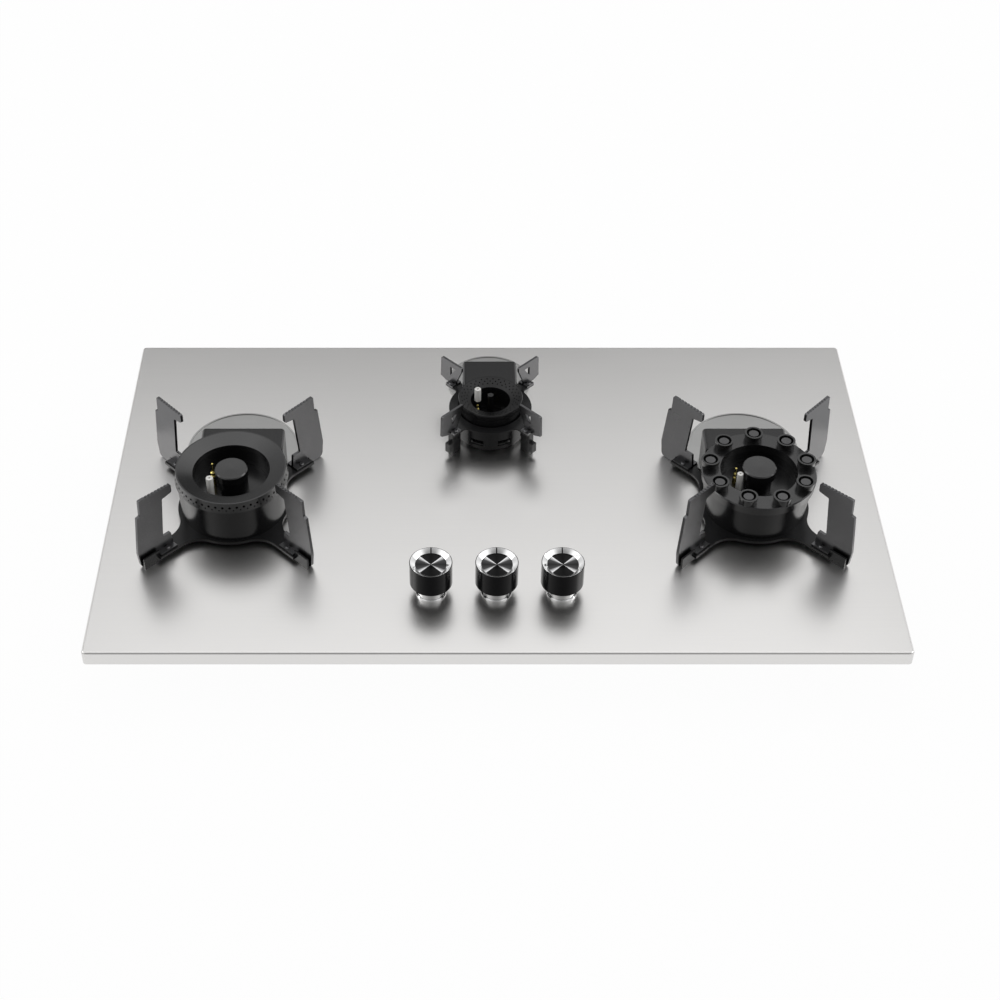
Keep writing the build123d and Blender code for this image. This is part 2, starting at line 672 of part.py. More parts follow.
def make_venturi(start_y):
    """Outer and inner solids of the mixing tube under the top, with a bell mouth to the front."""
    end_y = start_y - VENTURI_LENGTH
    bell = VENTURI_MOUTH_RADIUS - VENTURI_RADIUS
    outer_radius = VENTURI_RADIUS + VENTURI_WALL
    mouth_outer = VENTURI_MOUTH_RADIUS + VENTURI_WALL
    lie_down = Pos(0, end_y, VENTURI_Z) * Rot(-90, 0, 0)
    outer = [(0, 0), (mouth_outer, 0), (outer_radius, 3 * bell), (outer_radius, VENTURI_LENGTH)]
    outer += [(0, VENTURI_LENGTH)]
    inner_end = VENTURI_LENGTH + 2 * DUCT_WALL
    inner = [(0, -1), (VENTURI_MOUTH_RADIUS, -1), (VENTURI_MOUTH_RADIUS, 0)]
    inner += [(VENTURI_RADIUS, 3 * bell), (VENTURI_RADIUS, inner_end), (0, inner_end)]
    return lie_down * turned(outer), lie_down * turned(inner)


def make_burner_body(base_radius, top_radius, base_z, top_z, well_radius, floor_z, spigot, duct):
    """Drum with a gas channel round a central well, its duct, mixing tube and fixing spigot."""
    well_outer = well_radius + DRUM_WALL
    channel_base = base_radius - DRUM_WALL
    channel_top = top_radius - DRUM_WALL
    channel_floor = base_z + DRUM_FLOOR
    drum = turned([(0, base_z), (base_radius, base_z), (top_radius, top_z), (0, top_z)])
    start_y = well_outer + DRUM_WALL
    duct_outer, duct_inner = make_duct(start_y=start_y, **duct)
    venturi_start = duct["reach"] - duct["drop"] + DUCT_WALL
    venturi_outer, venturi_inner = make_venturi(venturi_start)
    body = drum + duct_outer + venturi_outer
    channel = [(well_outer, channel_floor), (channel_base, channel_floor)]
    channel += [(channel_top, top_z + 1), (well_outer, top_z + 1)]
    body -= turned(channel)
    body -= duct_inner
    body -= venturi_inner
    step_z = floor_z + WELL_STEP
    well = [(0, floor_z), (well_radius - WELL_STEP, floor_z), (well_radius - WELL_STEP, step_z)]
    well += [(well_radius, step_z), (well_radius, top_z + 1), (0, top_z + 1)]
    body -= turned(well)
    under = floor_z - DRUM_FLOOR
    body -= rod(well_radius, base_z - 1, under)
    body += washer(spigot, spigot - SPIGOT_WALL, SPIGOT_BOTTOM_Z, under)
    return body


def hollow_post(radius, floor_z, top_z):
    """Thin-walled post, closed on top, that carries a centre cap."""
    low = floor_z - DRUM_FLOOR
    return rod(radius, low, top_z) - rod(radius - DRUM_WALL, low - 1, top_z - DRUM_WALL)


SIDE_DUCT = {
    "width": SIDE_DUCT_WIDTH,
    "height": SIDE_DUCT_HEIGHT,
    "top_z": SIDE_DUCT_TOP_Z,
    "reach": SIDE_DUCT_REACH,
    "drop": SIDE_DUCT_DROP,
}
LEFT_DUCT = {**SIDE_DUCT, "offset": SIDE_DUCT_OFFSET}
RIGHT_DUCT = {**SIDE_DUCT, "offset": -SIDE_DUCT_OFFSET}
SMALL_DUCT = {
    "width": SMALL_DUCT_WIDTH,
    "height": SMALL_DUCT_HEIGHT,
    "top_z": SMALL_DUCT_TOP_Z,
    "reach": SMALL_DUCT_REACH,
    "drop": SMALL_DUCT_DROP,
    "offset": 0.0,
}


def wire_passages(body, electrode, thermocouple):
    """Holes in the well's floor for the electrode and the thermocouple."""
    for sensor in (electrode, thermocouple):
        body -= rod(sensor["radius"], -1, sensor["top"], sensor["x"], sensor["y"])
    return body


def make_burner_body_left():
    """Drum under the perforated ring."""
    body = make_burner_body(
        DRUM_BASE_RADIUS, RING_DRUM_TOP_RADIUS, BASE_TOP_Z, RING_DRUM_TOP_Z,
        WELL_RADIUS, RING_WELL_FLOOR_Z, SIDE_SPIGOT_RADIUS, LEFT_DUCT,
    )
    body += hollow_post(RING_POST_RADIUS, RING_WELL_FLOOR_Z, RING_CAP_BASE_Z - SEAT_GAP)
    return wire_passages(body, LEFT_ELECTRODE, LEFT_THERMOCOUPLE)


def make_burner_body_right():
    """Drum under the plate with nine cups."""
    body = make_burner_body(
        PORT_DRUM_BASE_RADIUS, PORT_DRUM_TOP_RADIUS, BASE_TOP_Z, PORT_DRUM_TOP_Z,
        WELL_RADIUS, PORT_WELL_FLOOR_Z, SIDE_SPIGOT_RADIUS, RIGHT_DUCT,
    )
    body += hollow_post(PORT_POST_RADIUS, PORT_WELL_FLOOR_Z, PORT_CAP_BASE_Z - SEAT_GAP)
    return wire_passages(body, RIGHT_ELECTRODE, RIGHT_THERMOCOUPLE)


def make_burner_body_middle():
    """Small drum with a thin post in its well."""
    body = make_burner_body(
        SMALL_DRUM_RADIUS, SMALL_DRUM_RADIUS, 0, SMALL_DRUM_TOP_Z,
        SMALL_WELL_RADIUS, SMALL_WELL_FLOOR_Z, SMALL_SPIGOT_RADIUS, SMALL_DUCT,
    )
    body += rod(SMALL_POST_RADIUS, SMALL_WELL_FLOOR_Z, SMALL_POST_TOP_Z)
    return wire_passages(body, MIDDLE_ELECTRODE, MIDDLE_THERMOCOUPLE)


def channel_lid(outer_points, mouth_radius, mouth_z, rim_radius, rim_z, thick, seat_z):
    """Ring that closes a drum's channel: outer wall, sloping inner face and inner lip."""
    lip_outer = mouth_radius + thick
    outline = list(outer_points)
    outline += [(rim_radius, rim_z), (mouth_radius, mouth_z), (mouth_radius, seat_z)]
    outline += [(lip_outer, seat_z), (lip_outer, mouth_z - thick)]
    outline += [(rim_radius - thick, rim_z - 1.6 * thick)]
    wall_inner = outer_points[0][0] - thick
    outline += [(wall_inner, rim_z - 1.6 * thick), (wall_inner, seat_z)]
    return turned(outline)


def side_ports(radius, count, port_radius, z, first_angle):
    """Six-sided holes drilled inwards through a round wall."""
    reach = 3 * RING_THICK
    port = extrude(RegularPolygon(port_radius, 6), reach, both=True)
    lying = Pos(radius, 0, z) * Rot(0, 90, 0) * port
    return around(lying, count, first_angle)


def make_flame_ring_left():
    """Inner-flame ring with two staggered rows of holes in its outer band."""
    seat_z = RING_DRUM_TOP_Z + SEAT_GAP
    outer = [(RING_BASE_RADIUS, seat_z), (RING_TOP_RADIUS, RING_TOP_Z)]
    rim_radius = RING_TOP_RADIUS - RING_RIM_WIDTH
    ring = channel_lid(
        outer, WELL_RADIUS, RING_MOUTH_Z, rim_radius, RING_TOP_Z, RING_THICK, seat_z
    )
    half_step = 180 / RING_PORT_COUNT
    upper = side_ports(RING_TOP_RADIUS, RING_PORT_COUNT, RING_PORT_LARGE, RING_PORT_UPPER_Z, 0)
    lower = side_ports(
        RING_BASE_RADIUS, RING_PORT_COUNT, RING_PORT_SMALL, RING_PORT_LOWER_Z, half_step
    )
    return ring - (upper + lower)


def make_centre_cap(radius, base_z, top_z):
    """Loose cap that stands on a burner's centre post."""
    edge = CAP_EDGE
    stem_radius = radius / 2
    stem_z = base_z + 2 * edge
    outline = [(0, top_z - CAP_DISH), (radius - 2 * edge, top_z), (radius - edge, top_z)]
    outline += [(radius, top_z - edge), (radius, base_z + edge), (radius - edge, base_z)]
    outline += [(stem_radius, base_z), (stem_radius, stem_z), (0, stem_z)]
    return turned(outline)


def cup_angles():
    """Directions of the nine cups from the burner axis."""
    return [CUP_FIRST_ANGLE + i * 360 / CUP_COUNT for i in range(CUP_COUNT)]


def make_flame_head_right():
    """Plate with nine raised cups over the right drum."""
    seat_z = PORT_DRUM_TOP_Z + SEAT_GAP
    lip_outer = WELL_RADIUS + RING_THICK
    wall_inner = HEAD_RADIUS - RING_THICK
    under = HEAD_TOP_Z - HEAD_THICK
    edge_radius = HEAD_RADIUS - HEAD_EDGE
    outline = [(WELL_RADIUS, seat_z), (WELL_RADIUS, HEAD_TOP_Z), (edge_radius, HEAD_TOP_Z)]
    outline += [(HEAD_RADIUS, HEAD_TOP_Z - HEAD_EDGE), (HEAD_RADIUS - HEAD_DRAFT, seat_z)]
    outline += [(wall_inner, seat_z)]
    outline += [(wall_inner, under), (lip_outer, under), (lip_outer, seat_z)]
    head = turned(outline)
    cup_outer = [(0, under), (CUP_BASE_RADIUS, under), (CUP_BASE_RADIUS, HEAD_TOP_Z)]
    lip_z = CUP_TOP_Z - CUP_LIP_HEIGHT
    cup_outer += [(CUP_RADIUS, lip_z), (CUP_RADIUS, CUP_TOP_Z), (0, CUP_TOP_Z)]
    cup_floor = HEAD_TOP_Z
    cup_groove = [(0, cup_floor), (CUP_BORE - CUP_BORE_DRAFT, cup_floor), (CUP_BORE, CUP_TOP_Z + 1)]
    cup_groove += [(0, CUP_TOP_Z + 1)]
    gas_hole = rod(PLUG_RADIUS / 2, under - 1, cup_floor + 1)
    cup = turned(cup_outer)
    pocket = turned(cup_groove) + gas_hole
    for angle in cup_angles():
        place = Rot(0, 0, angle) * Pos(CUP_CIRCLE, 0, 0)
        head += place * cup
        head -= place * pocket
    return head


def make_port_plugs_right():
    """Round plates that stand in the cups and spread the flame."""
    stem = PLUG_RADIUS / 2
    outline = [(0, HEAD_TOP_Z - HEAD_THICK), (stem, HEAD_TOP_Z - HEAD_THICK), (stem, HEAD_TOP_Z)]
    outline += [(PLUG_RADIUS - PLUG_NECK, HEAD_TOP_Z), (PLUG_RADIUS, PLUG_TOP_Z - PLUG_DISC)]
    outline += [(PLUG_RADIUS, PLUG_TOP_Z), (0, PLUG_TOP_Z)]
    plug = turned(outline)
    plugs = [Rot(0, 0, angle) * Pos(CUP_CIRCLE, 0, 0) * plug for angle in cup_angles()]
    return group(plugs)


def make_flame_cap_middle():
    """Small cap with three rows of fine holes in its sloping face."""
    seat_z = SMALL_DRUM_TOP_Z + SEAT_GAP
    outer = [(SMALL_DRUM_RADIUS, seat_z), (SMALL_CAP_RADIUS, SMALL_CAP_TOP_Z - 1)]
    outer += [(SMALL_CAP_RADIUS - 0.6, SMALL_CAP_TOP_Z)]
    rim_radius = SMALL_CAP_RADIUS - RING_RIM_WIDTH
    cap = channel_lid(
        outer, SMALL_WELL_RADIUS, SMALL_CAP_MOUTH_Z, rim_radius, SMALL_CAP_TOP_Z,
        SMALL_CAP_THICK, seat_z,
    )
    half = SMALL_PORT_WIDTH / 2
    port = block(-half, half, -half, half, seat_z + 1, SMALL_CAP_TOP_Z + 1)
    ports = []
    for row in range(SMALL_PORT_ROWS):
        circle = SMALL_PORT_FIRST_CIRCLE + row * SMALL_PORT_ROW_STEP
        first_angle = (row % 2) * 180 / SMALL_PORT_COUNT
        ports += around(Pos(circle, 0, 0) * port, SMALL_PORT_COUNT, first_angle)
    return cap - ports


def make_duct_disc(radius, behind, width, reach, drop, offset):
    """Steel disc with a raised rim on the top, round the foot of a duct."""
    disc = rod(radius, 0, DISC_THICK, 0, behind)
    rim_top = DISC_THICK + DISC_RIM_HEIGHT
    disc += washer(radius, radius - DISC_RIM_WIDTH, DISC_THICK, rim_top, 0, behind)
    duct_middle = reach - drop / 2
    slot_width = width + 2 * FIT_GAP
    slot_half = slot_width / 2
    slot = block(-slot_half, slot_half, duct_middle - radius, reach + FIT_GAP, -1, rim_top + 1)
    back_edges = slot.edges().filter_by(Axis.Z).group_by(Axis.Y)[-1]
    return disc - Pos(offset, 0, 0) * fillet(back_edges, DUCT_CORNER / 2)


def arm_outline(hub_radius, half_width, length, root_fillet):
    """Flat outline of a hub with equal arms and round inside corners."""
    shape = Circle(hub_radius)
    arm = Pos(length / 2, 0) * Rectangle(length, 2 * half_width)
    for turned_arm in around(arm, ARM_COUNT, FIRST_ARM_ANGLE):
        shape += turned_arm
    root = hypot(hub_radius, 0) * 1.08
    corners = [v for v in shape.vertices() if hypot(v.X, v.Y) < root]
    return fillet(corners, root_fillet)


def duct_footprint(width, reach, drop, gap):
    """Upright block round a down-duct, to clear what lies on the top beside it."""
    half = width / 2 + gap
    return block(-half, half, reach - drop - gap, reach + gap, -1, BASE_TOP_Z + 1)


def make_support_base_side(duct_offset):
    """Base plate under a side burner: hub, four arms, and one upright cheek at each arm's end."""
    low = BASE_TOP_Z - BASE_THICK
    plate = extrude(arm_outline(BASE_RADIUS, ARM_HALF_WIDTH, ARM_LENGTH, ARM_FILLET), BASE_THICK)
    base = Pos(0, 0, low) * plate
    base += rod(BASE_HOLE_RADIUS + BASE_COLLAR, 0, BASE_TOP_Z)
    base -= rod(BASE_HOLE_RADIUS, -1, BASE_TOP_Z + 1)
    inner_face = BLADE_THICK / 2 + CHEEK_GAP
    outer_face = inner_face + CHEEK_THICK
    web_start = CHEEK_INNER - 2 * CHEEK_THICK
    web = block(web_start, CHEEK_INNER, -outer_face, outer_face, 0, BASE_TOP_Z)
    cheek = block(CHEEK_INNER - CHEEK_THICK, CHEEK_OUTER, inner_face, outer_face, 0, CHEEK_TOP_Z)
    other_cheek = mirror(cheek, about=Plane.XZ)
    screw = rod(SUPPORT_SCREW_RADIUS, low - 1, BASE_TOP_Z + 1, SUPPORT_SCREW_REACH)
    holes = Pos(0, SIDE_SCREW_SPREAD, 0) * screw + Pos(0, -SIDE_SCREW_SPREAD, 0) * screw
    uprights = around(web, ARM_COUNT, FIRST_ARM_ANGLE)
    uprights += around(cheek, 2, FIRST_ARM_ANGLE)
    uprights += around(other_cheek, 2, FIRST_ARM_ANGLE + 90)
    for piece in uprights:
        base += piece
    for piece in around(holes, ARM_COUNT, FIRST_ARM_ANGLE):
        base -= piece
    foot = duct_footprint(SIDE_DUCT_WIDTH, SIDE_DUCT_REACH, SIDE_DUCT_DROP, BASE_HOLE_GAP)
    return base - Pos(duct_offset, 0, 0) * foot


def toothed_edge(start, end, count, depth):
    """Points of a straight edge from start to end with shallow square-bottomed notches."""
    run_x = end[0] - start[0]
    run_z = end[1] - start[1]
    points = [start]
    for i in range(count):
        for share, drop in ((0.55, 0), (0.65, depth), (0.90, depth), (1.0, 0)):
            t = (i + share) / (count + 0.6)
            points.append((start[0] + run_x * t, start[1] + run_z * t - drop))
    points.append(end)
    return points


def bolted_foot(inner, outer, half_width, bottom_z, screw_radius, screw_reach, spread):
    """Foot plate under a blade, with a screw hole on each side of it."""
    plate = block(inner, outer, -half_width, half_width, bottom_z, bottom_z + FOOT_PLATE_THICK)
    for side in (-1, 1):
        plate -= rod(
            screw_radius, bottom_z - 1, bottom_z + FOOT_PLATE_THICK + 1,
            screw_reach, side * spread,
        )
    return plate


def make_side_blade():
    """One upright blade along +X: toothed top, inward finger, notched back, lug and foot."""
    finger_under = (BLADE_TIP_REACH, BLADE_TIP_Z - BLADE_FINGER_DEPTH)
    tip = (BLADE_TIP_REACH, BLADE_TIP_Z)
    land_start = (BLADE_TOP_REACH - BLADE_LAND, BLADE_TOP_Z)
    outer_top = (BLADE_TOP_REACH, BLADE_TOP_Z)
    notch_reach = BLADE_TOP_REACH + BLADE_OUTER_DRAFT
    root = (BLADE_ROOT_REACH, BLADE_ROOT_Z)
    heel = (BLADE_HEEL_REACH, LUG_TOP_Z)
    lug_top = (LUG_REACH + LUG_DRAFT, LUG_TOP_Z)
    belly = (BLADE_BELLY_REACH, BLADE_BELLY_Z)
    foot = (BLADE_FOOT_REACH, BLADE_FLOOR_GAP)
    foot_top = BASE_TOP_Z + FOOT_PLATE_THICK
    outline = toothed_edge(tip, land_start, TOOTH_COUNT, TOOTH_DEPTH)
    outline += [outer_top, (notch_reach, BLADE_NOTCH_Z)]
    outline += [(notch_reach + BLADE_NOTCH_DEPTH, BLADE_NOTCH_Z - 1), belly, foot]
    outline += [(CHEEK_INNER, BLADE_FLOOR_GAP), (CHEEK_INNER, foot_top), (LUG_REACH, foot_top)]
    outline += [lug_top, heel, root, finger_under]
    face = make_face(Polyline(*outline, close=True))
    corners = [(*finger_under, BLADE_TIP_RADIUS), (*tip, BLADE_TIP_RADIUS)]
    corners += [(*foot, BLADE_FOOT_RADIUS), (*belly, BLADE_BELLY_RADIUS)]
    corners += [(*point, BLADE_CORNER_RADIUS) for point in (outer_top, root, lug_top, heel)]
    face = soft_corners(face, corners)
    blade = extrude(Plane.XZ * face, BLADE_THICK / 2, both=True)
    plate = bolted_foot(
        LUG_REACH, FOOT_PLATE_OUTER, FOOT_PLATE_HALF_WIDTH, BASE_TOP_Z,
        SUPPORT_SCREW_RADIUS, SUPPORT_SCREW_REACH, SIDE_SCREW_SPREAD,
    )
    return blade + plate


def screw_pair(reach, spread, seat_z, length, radius, head_radius, head_height):
    """Two pan-head screws, one on each side of a blade, with their heads on its foot."""
    screws = []
    for side in (-1, 1):
        outline = [(0, seat_z - length), (radius, seat_z - length), (radius, seat_z)]
        outline += [(head_radius, seat_z), (head_radius, seat_z + head_height / 2)]
        outline += [(head_radius - head_height / 2, seat_z + head_height)]
        outline += [(0, seat_z + head_height)]
        screws.append(Pos(reach, side * spread, 0) * turned(outline))
    return group(screws)


def make_side_screws():
    """Screws of one side blade."""
    seat_z = BASE_TOP_Z + FOOT_PLATE_THICK
    length = FOOT_PLATE_THICK + BASE_THICK
    return screw_pair(
        SUPPORT_SCREW_REACH, SIDE_SCREW_SPREAD, seat_z, length,
        SUPPORT_SCREW_RADIUS, SUPPORT_SCREW_HEAD, SUPPORT_SCREW_HEAD_HEIGHT,
    )


def make_support_base_middle():
    """Tray round the middle burner with a windowed skirt, four arms and upright legs."""
    low = TRAY_TOP_Z - TRAY_THICK
    outline = arm_outline(TRAY_RADIUS, TRAY_ARM_HALF_WIDTH, TRAY_ARM_LENGTH, 4.0)
    tray = Pos(0, 0, low) * extrude(outline, TRAY_THICK)
    tray += washer(SKIRT_RADIUS, SKIRT_RADIUS - TRAY_THICK, SKIRT_BOTTOM_Z, low)
    half = WINDOW_WIDTH / 2
    window = block(0, SKIRT_RADIUS + 1, -half, half, WINDOW_BOTTOM_Z, WINDOW_TOP_Z)
    tray -= around(window, WINDOW_COUNT, 180 / WINDOW_COUNT)
    tray -= rod(TRAY_HOLE_RADIUS, SKIRT_BOTTOM_Z - 1, TRAY_TOP_Z + 1)
    leg = block(LEG_INNER, LEG_OUTER, -LEG_THICK / 2, LEG_THICK / 2, 0, low)
    leg += block(
        LEG_OUTER, LEG_FOOT_REACH, -LEG_FOOT_HALF_WIDTH, LEG_FOOT_HALF_WIDTH,
        LEG_FOOT_BOTTOM_Z, LEG_FOOT_TOP_Z,
    )
    leg += block(LEG_OUTER - LEG_THICK, LEG_OUTER, -LEG_FOOT_HALF_WIDTH, LEG_FOOT_HALF_WIDTH, 0, low)
    back_leg = block(LEG_INNER, BACK_LEG_OUTER, -LEG_THICK / 2, LEG_THICK / 2, 0, low)
    screw = rod(SMALL_SCREW_RADIUS, low - 1, TRAY_TOP_Z + 1, SMALL_SCREW_REACH)
    holes = Pos(0, SMALL_SCREW_SPREAD, 0) * screw + Pos(0, -SMALL_SCREW_SPREAD, 0) * screw
    front_angle = FIRST_ARM_ANGLE + 180
    for angle in (FIRST_ARM_ANGLE, FIRST_ARM_ANGLE + 90):
        tray += Rot(0, 0, angle) * back_leg
    for angle in (front_angle, front_angle + 90):
        tray += Rot(0, 0, angle) * leg
    for piece in around(holes, ARM_COUNT, FIRST_ARM_ANGLE):
        tray -= piece
    duct_half = SMALL_DUCT_WIDTH / 2 + SEAT_GAP
    return tray - block(-duct_half, duct_half, 0, TRAY_RADIUS + 1, -1, TRAY_TOP_Z + 1)


def make_small_blade():
    """One small blade along +X with a triangular window and a foot."""
    tip = (SMALL_BLADE_TIP_REACH, SMALL_BLADE_TOP_Z)
    outer_top = (SMALL_BLADE_TOP_REACH, SMALL_BLADE_TOP_Z)
    foot_top = TRAY_TOP_Z + FOOT_PLATE_THICK
    outline = [tip, outer_top, (SMALL_BLADE_FOOT_REACH, TRAY_TOP_Z + SMALL_BLADE_HEEL)]
    outline += [(SMALL_BLADE_FOOT_REACH - SMALL_BLADE_CUT, TRAY_TOP_Z)]
    outline += [(SMALL_BLADE_INNER, TRAY_TOP_Z), (SMALL_BLADE_INNER, foot_top + SMALL_BLADE_HEEL)]
    outline += [(SMALL_BLADE_TIP_REACH + 0.5, SMALL_BLADE_TOP_Z - SMALL_BLADE_TIP_DEPTH)]
    face = make_face(Polyline(*outline, close=True))
    face = soft_corners(face, [(*outer_top, 2.0), (*tip, 1.2)])
    window_top = SMALL_BLADE_TOP_Z - SMALL_BLADE_BAND
    window_x = SMALL_BLADE_WINDOW_REACH
    window = [(window_x, window_top), (window_x - SMALL_WINDOW_WIDTH, window_top)]
    window += [(window_x, window_top - SMALL_WINDOW_HEIGHT)]
    face -= make_face(Polyline(*window, close=True))
    blade = extrude(Plane.XZ * face, SMALL_BLADE_THICK / 2, both=True)
    foot = bolted_foot(
        SMALL_BLADE_INNER, TRAY_ARM_LENGTH, TRAY_ARM_HALF_WIDTH, TRAY_TOP_Z,
        SMALL_SCREW_RADIUS, SMALL_SCREW_REACH, SMALL_SCREW_SPREAD,
    )
    return blade + foot


def make_small_screws():
    """Screws of one small blade."""
    seat_z = TRAY_TOP_Z + FOOT_PLATE_THICK
    length = FOOT_PLATE_THICK + TRAY_THICK
    return screw_pair(
        SMALL_SCREW_REACH, SMALL_SCREW_SPREAD, seat_z, length,
        SMALL_SCREW_RADIUS, SMALL_SCREW_HEAD, SMALL_SCREW_HEAD_HEIGHT,
    )


def make_electrode(place, floor_z):
    """Ceramic tube with a short wire tip."""
    low = floor_z - DRUM_FLOOR - CERAMIC_BASE_DROP
    radius = place["radius"]
    top = place["top"]
    outline = [(0, low), (radius, low), (radius, top - CERAMIC_CHAMFER)]
    outline += [(radius - CERAMIC_CHAMFER, top)]
    outline += [(ELECTRODE_TIP_RADIUS, top), (ELECTRODE_TIP_RADIUS, top + ELECTRODE_TIP_HEIGHT)]
    outline += [(0, top + ELECTRODE_TIP_HEIGHT)]
    return Pos(place["x"], place["y"], 0) * turned(outline)


def make_thermocouple(place, floor_z):
    """Brass sleeve with a collar, a shoulder and a needle on top."""
    low = floor_z - DRUM_FLOOR - CERAMIC_BASE_DROP
    radius = place["radius"]
    top = place["top"]
    waist = radius * SENSOR_WAIST
    nose = radius * SENSOR_NOSE
    collar = top - SENSOR_HEAD_HEIGHT
    groove_start, groove_end, nose_start, nose_end = SENSOR_GROOVE
    outline = [(0, low), (radius, low), (radius, collar), (waist, collar + groove_start)]
    outline += [(waist, collar + groove_end), (nose, collar + nose_start)]
    outline += [(nose, collar + nose_end), (NEEDLE_RADIUS * SENSOR_NOSE * 2, top)]
    outline += [(NEEDLE_RADIUS, top + NEEDLE_RADIUS), (NEEDLE_RADIUS, place["tip"])]
    outline += [(0, place["tip"])]
    return Pos(place["x"], place["y"], 0) * turned(outline)


def make_knob():
    """Hollow round knob body with a seat for the face and a boss for the spindle."""
    outline = [(KNOB_RADIUS - KNOB_WALL, KNOB_BOTTOM_Z)]
    outline += [(KNOB_RADIUS - KNOB_EDGE_RADIUS, KNOB_BOTTOM_Z)]
    outline += [(KNOB_RADIUS, KNOB_BOTTOM_Z + KNOB_EDGE_RADIUS)]
    outline += [(KNOB_RADIUS, KNOB_TOP_Z - KNOB_EDGE_RADIUS / 2)]
    outline += [(KNOB_RADIUS - KNOB_EDGE_RADIUS / 2, KNOB_TOP_Z), (KNOB_FACE_RADIUS, KNOB_TOP_Z)]
    seat_z = KNOB_TOP_Z - KNOB_FACE_DROP - KNOB_FACE_THICK
    roof_z = seat_z - KNOB_WALL
    outline += [(KNOB_FACE_RADIUS, seat_z), (0, seat_z), (0, SPINDLE_TOP_Z)]
    boss_z = KNOB_BOTTOM_Z + KNOB_SKIRT
    outline += [(SPINDLE_RADIUS, SPINDLE_TOP_Z), (SPINDLE_RADIUS, boss_z)]
    outline += [(KNOB_BOSS_RADIUS, boss_z), (KNOB_BOSS_RADIUS, roof_z)]
    outline += [(KNOB_RADIUS - KNOB_WALL, roof_z)]
    return turned(outline)


def make_knob_face():
    """Metal face: sloping bright ring, sunk disc and a groove that marks the pointer."""
    seat_z = KNOB_TOP_Z - KNOB_FACE_DROP - KNOB_FACE_THICK
    disc_z = KNOB_TOP_Z - KNOB_FACE_DROP
    outline = [(0, seat_z), (KNOB_FACE_RADIUS, seat_z), (KNOB_FACE_RADIUS, KNOB_TOP_Z)]
    sunk_z = disc_z - KNOB_DISC_STEP
    outline += [(KNOB_FACE_INNER, disc_z), (KNOB_FACE_INNER - KNOB_DISC_STEP, sunk_z), (0, sunk_z)]
    face = turned(outline)
    slope = degrees(atan2(KNOB_FACE_DROP, KNOB_FACE_RADIUS - KNOB_FACE_INNER))
    middle_radius = (KNOB_FACE_RADIUS + KNOB_FACE_INNER) / 2
    middle_z = KNOB_TOP_Z - KNOB_FACE_DROP / 2
    groove = Box(POINTER_WIDTH, 2 * KNOB_FACE_RADIUS, 2 * POINTER_DEPTH)
    cutter = Pos(0, middle_radius, middle_z) * Rot(slope, 0, 0) * groove
    ring_start = KNOB_FACE_INNER - 2 * KNOB_DISC_STEP
    keep = block(-KNOB_RADIUS, KNOB_RADIUS, ring_start, KNOB_RADIUS, 0, 2 * KNOB_TOP_Z)
    return face - (cutter & keep)


def make_knob_bezel():
    """Two-step ring on the top, round the spindle."""
    groove_z = BEZEL_FLANGE_HEIGHT + BEZEL_GROOVE
    neck = BEZEL_SLEEVE_RADIUS - BEZEL_GROOVE
    outline = [(BEZEL_BORE, -BEZEL_SPIGOT_DEPTH), (BEZEL_SPIGOT_RADIUS, -BEZEL_SPIGOT_DEPTH)]
    outline += [(BEZEL_SPIGOT_RADIUS, 0), (BEZEL_FLANGE_RADIUS, 0)]
    outline += [(BEZEL_FLANGE_RADIUS, BEZEL_FLANGE_HEIGHT - BEZEL_CHAMFER)]
    outline += [(BEZEL_FLANGE_RADIUS - BEZEL_CHAMFER, BEZEL_FLANGE_HEIGHT)]
    outline += [(neck, BEZEL_FLANGE_HEIGHT)]
    outline += [(neck, groove_z), (BEZEL_SLEEVE_RADIUS, groove_z)]
    outline += [(BEZEL_SLEEVE_RADIUS, BEZEL_HEIGHT - BEZEL_CHAMFER)]
    outline += [(BEZEL_SLEEVE_RADIUS - BEZEL_CHAMFER, BEZEL_HEIGHT)]
    outline += [(BEZEL_BORE, BEZEL_HEIGHT)]
    return turned(outline)


def make_valve_spindle():
    """Round spindle with a flat at its top end."""
    return rod(SPINDLE_RADIUS, SPINDLE_BOTTOM_Z, SPINDLE_TOP_Z)


def make_valve_plunger():
    """Push rod under the spindle, which opens the safety magnet."""
    top = SPINDLE_BOTTOM_Z - SEAT_GAP
    return rod(PLUNGER_RADIUS, top - PLUNGER_LENGTH, top)


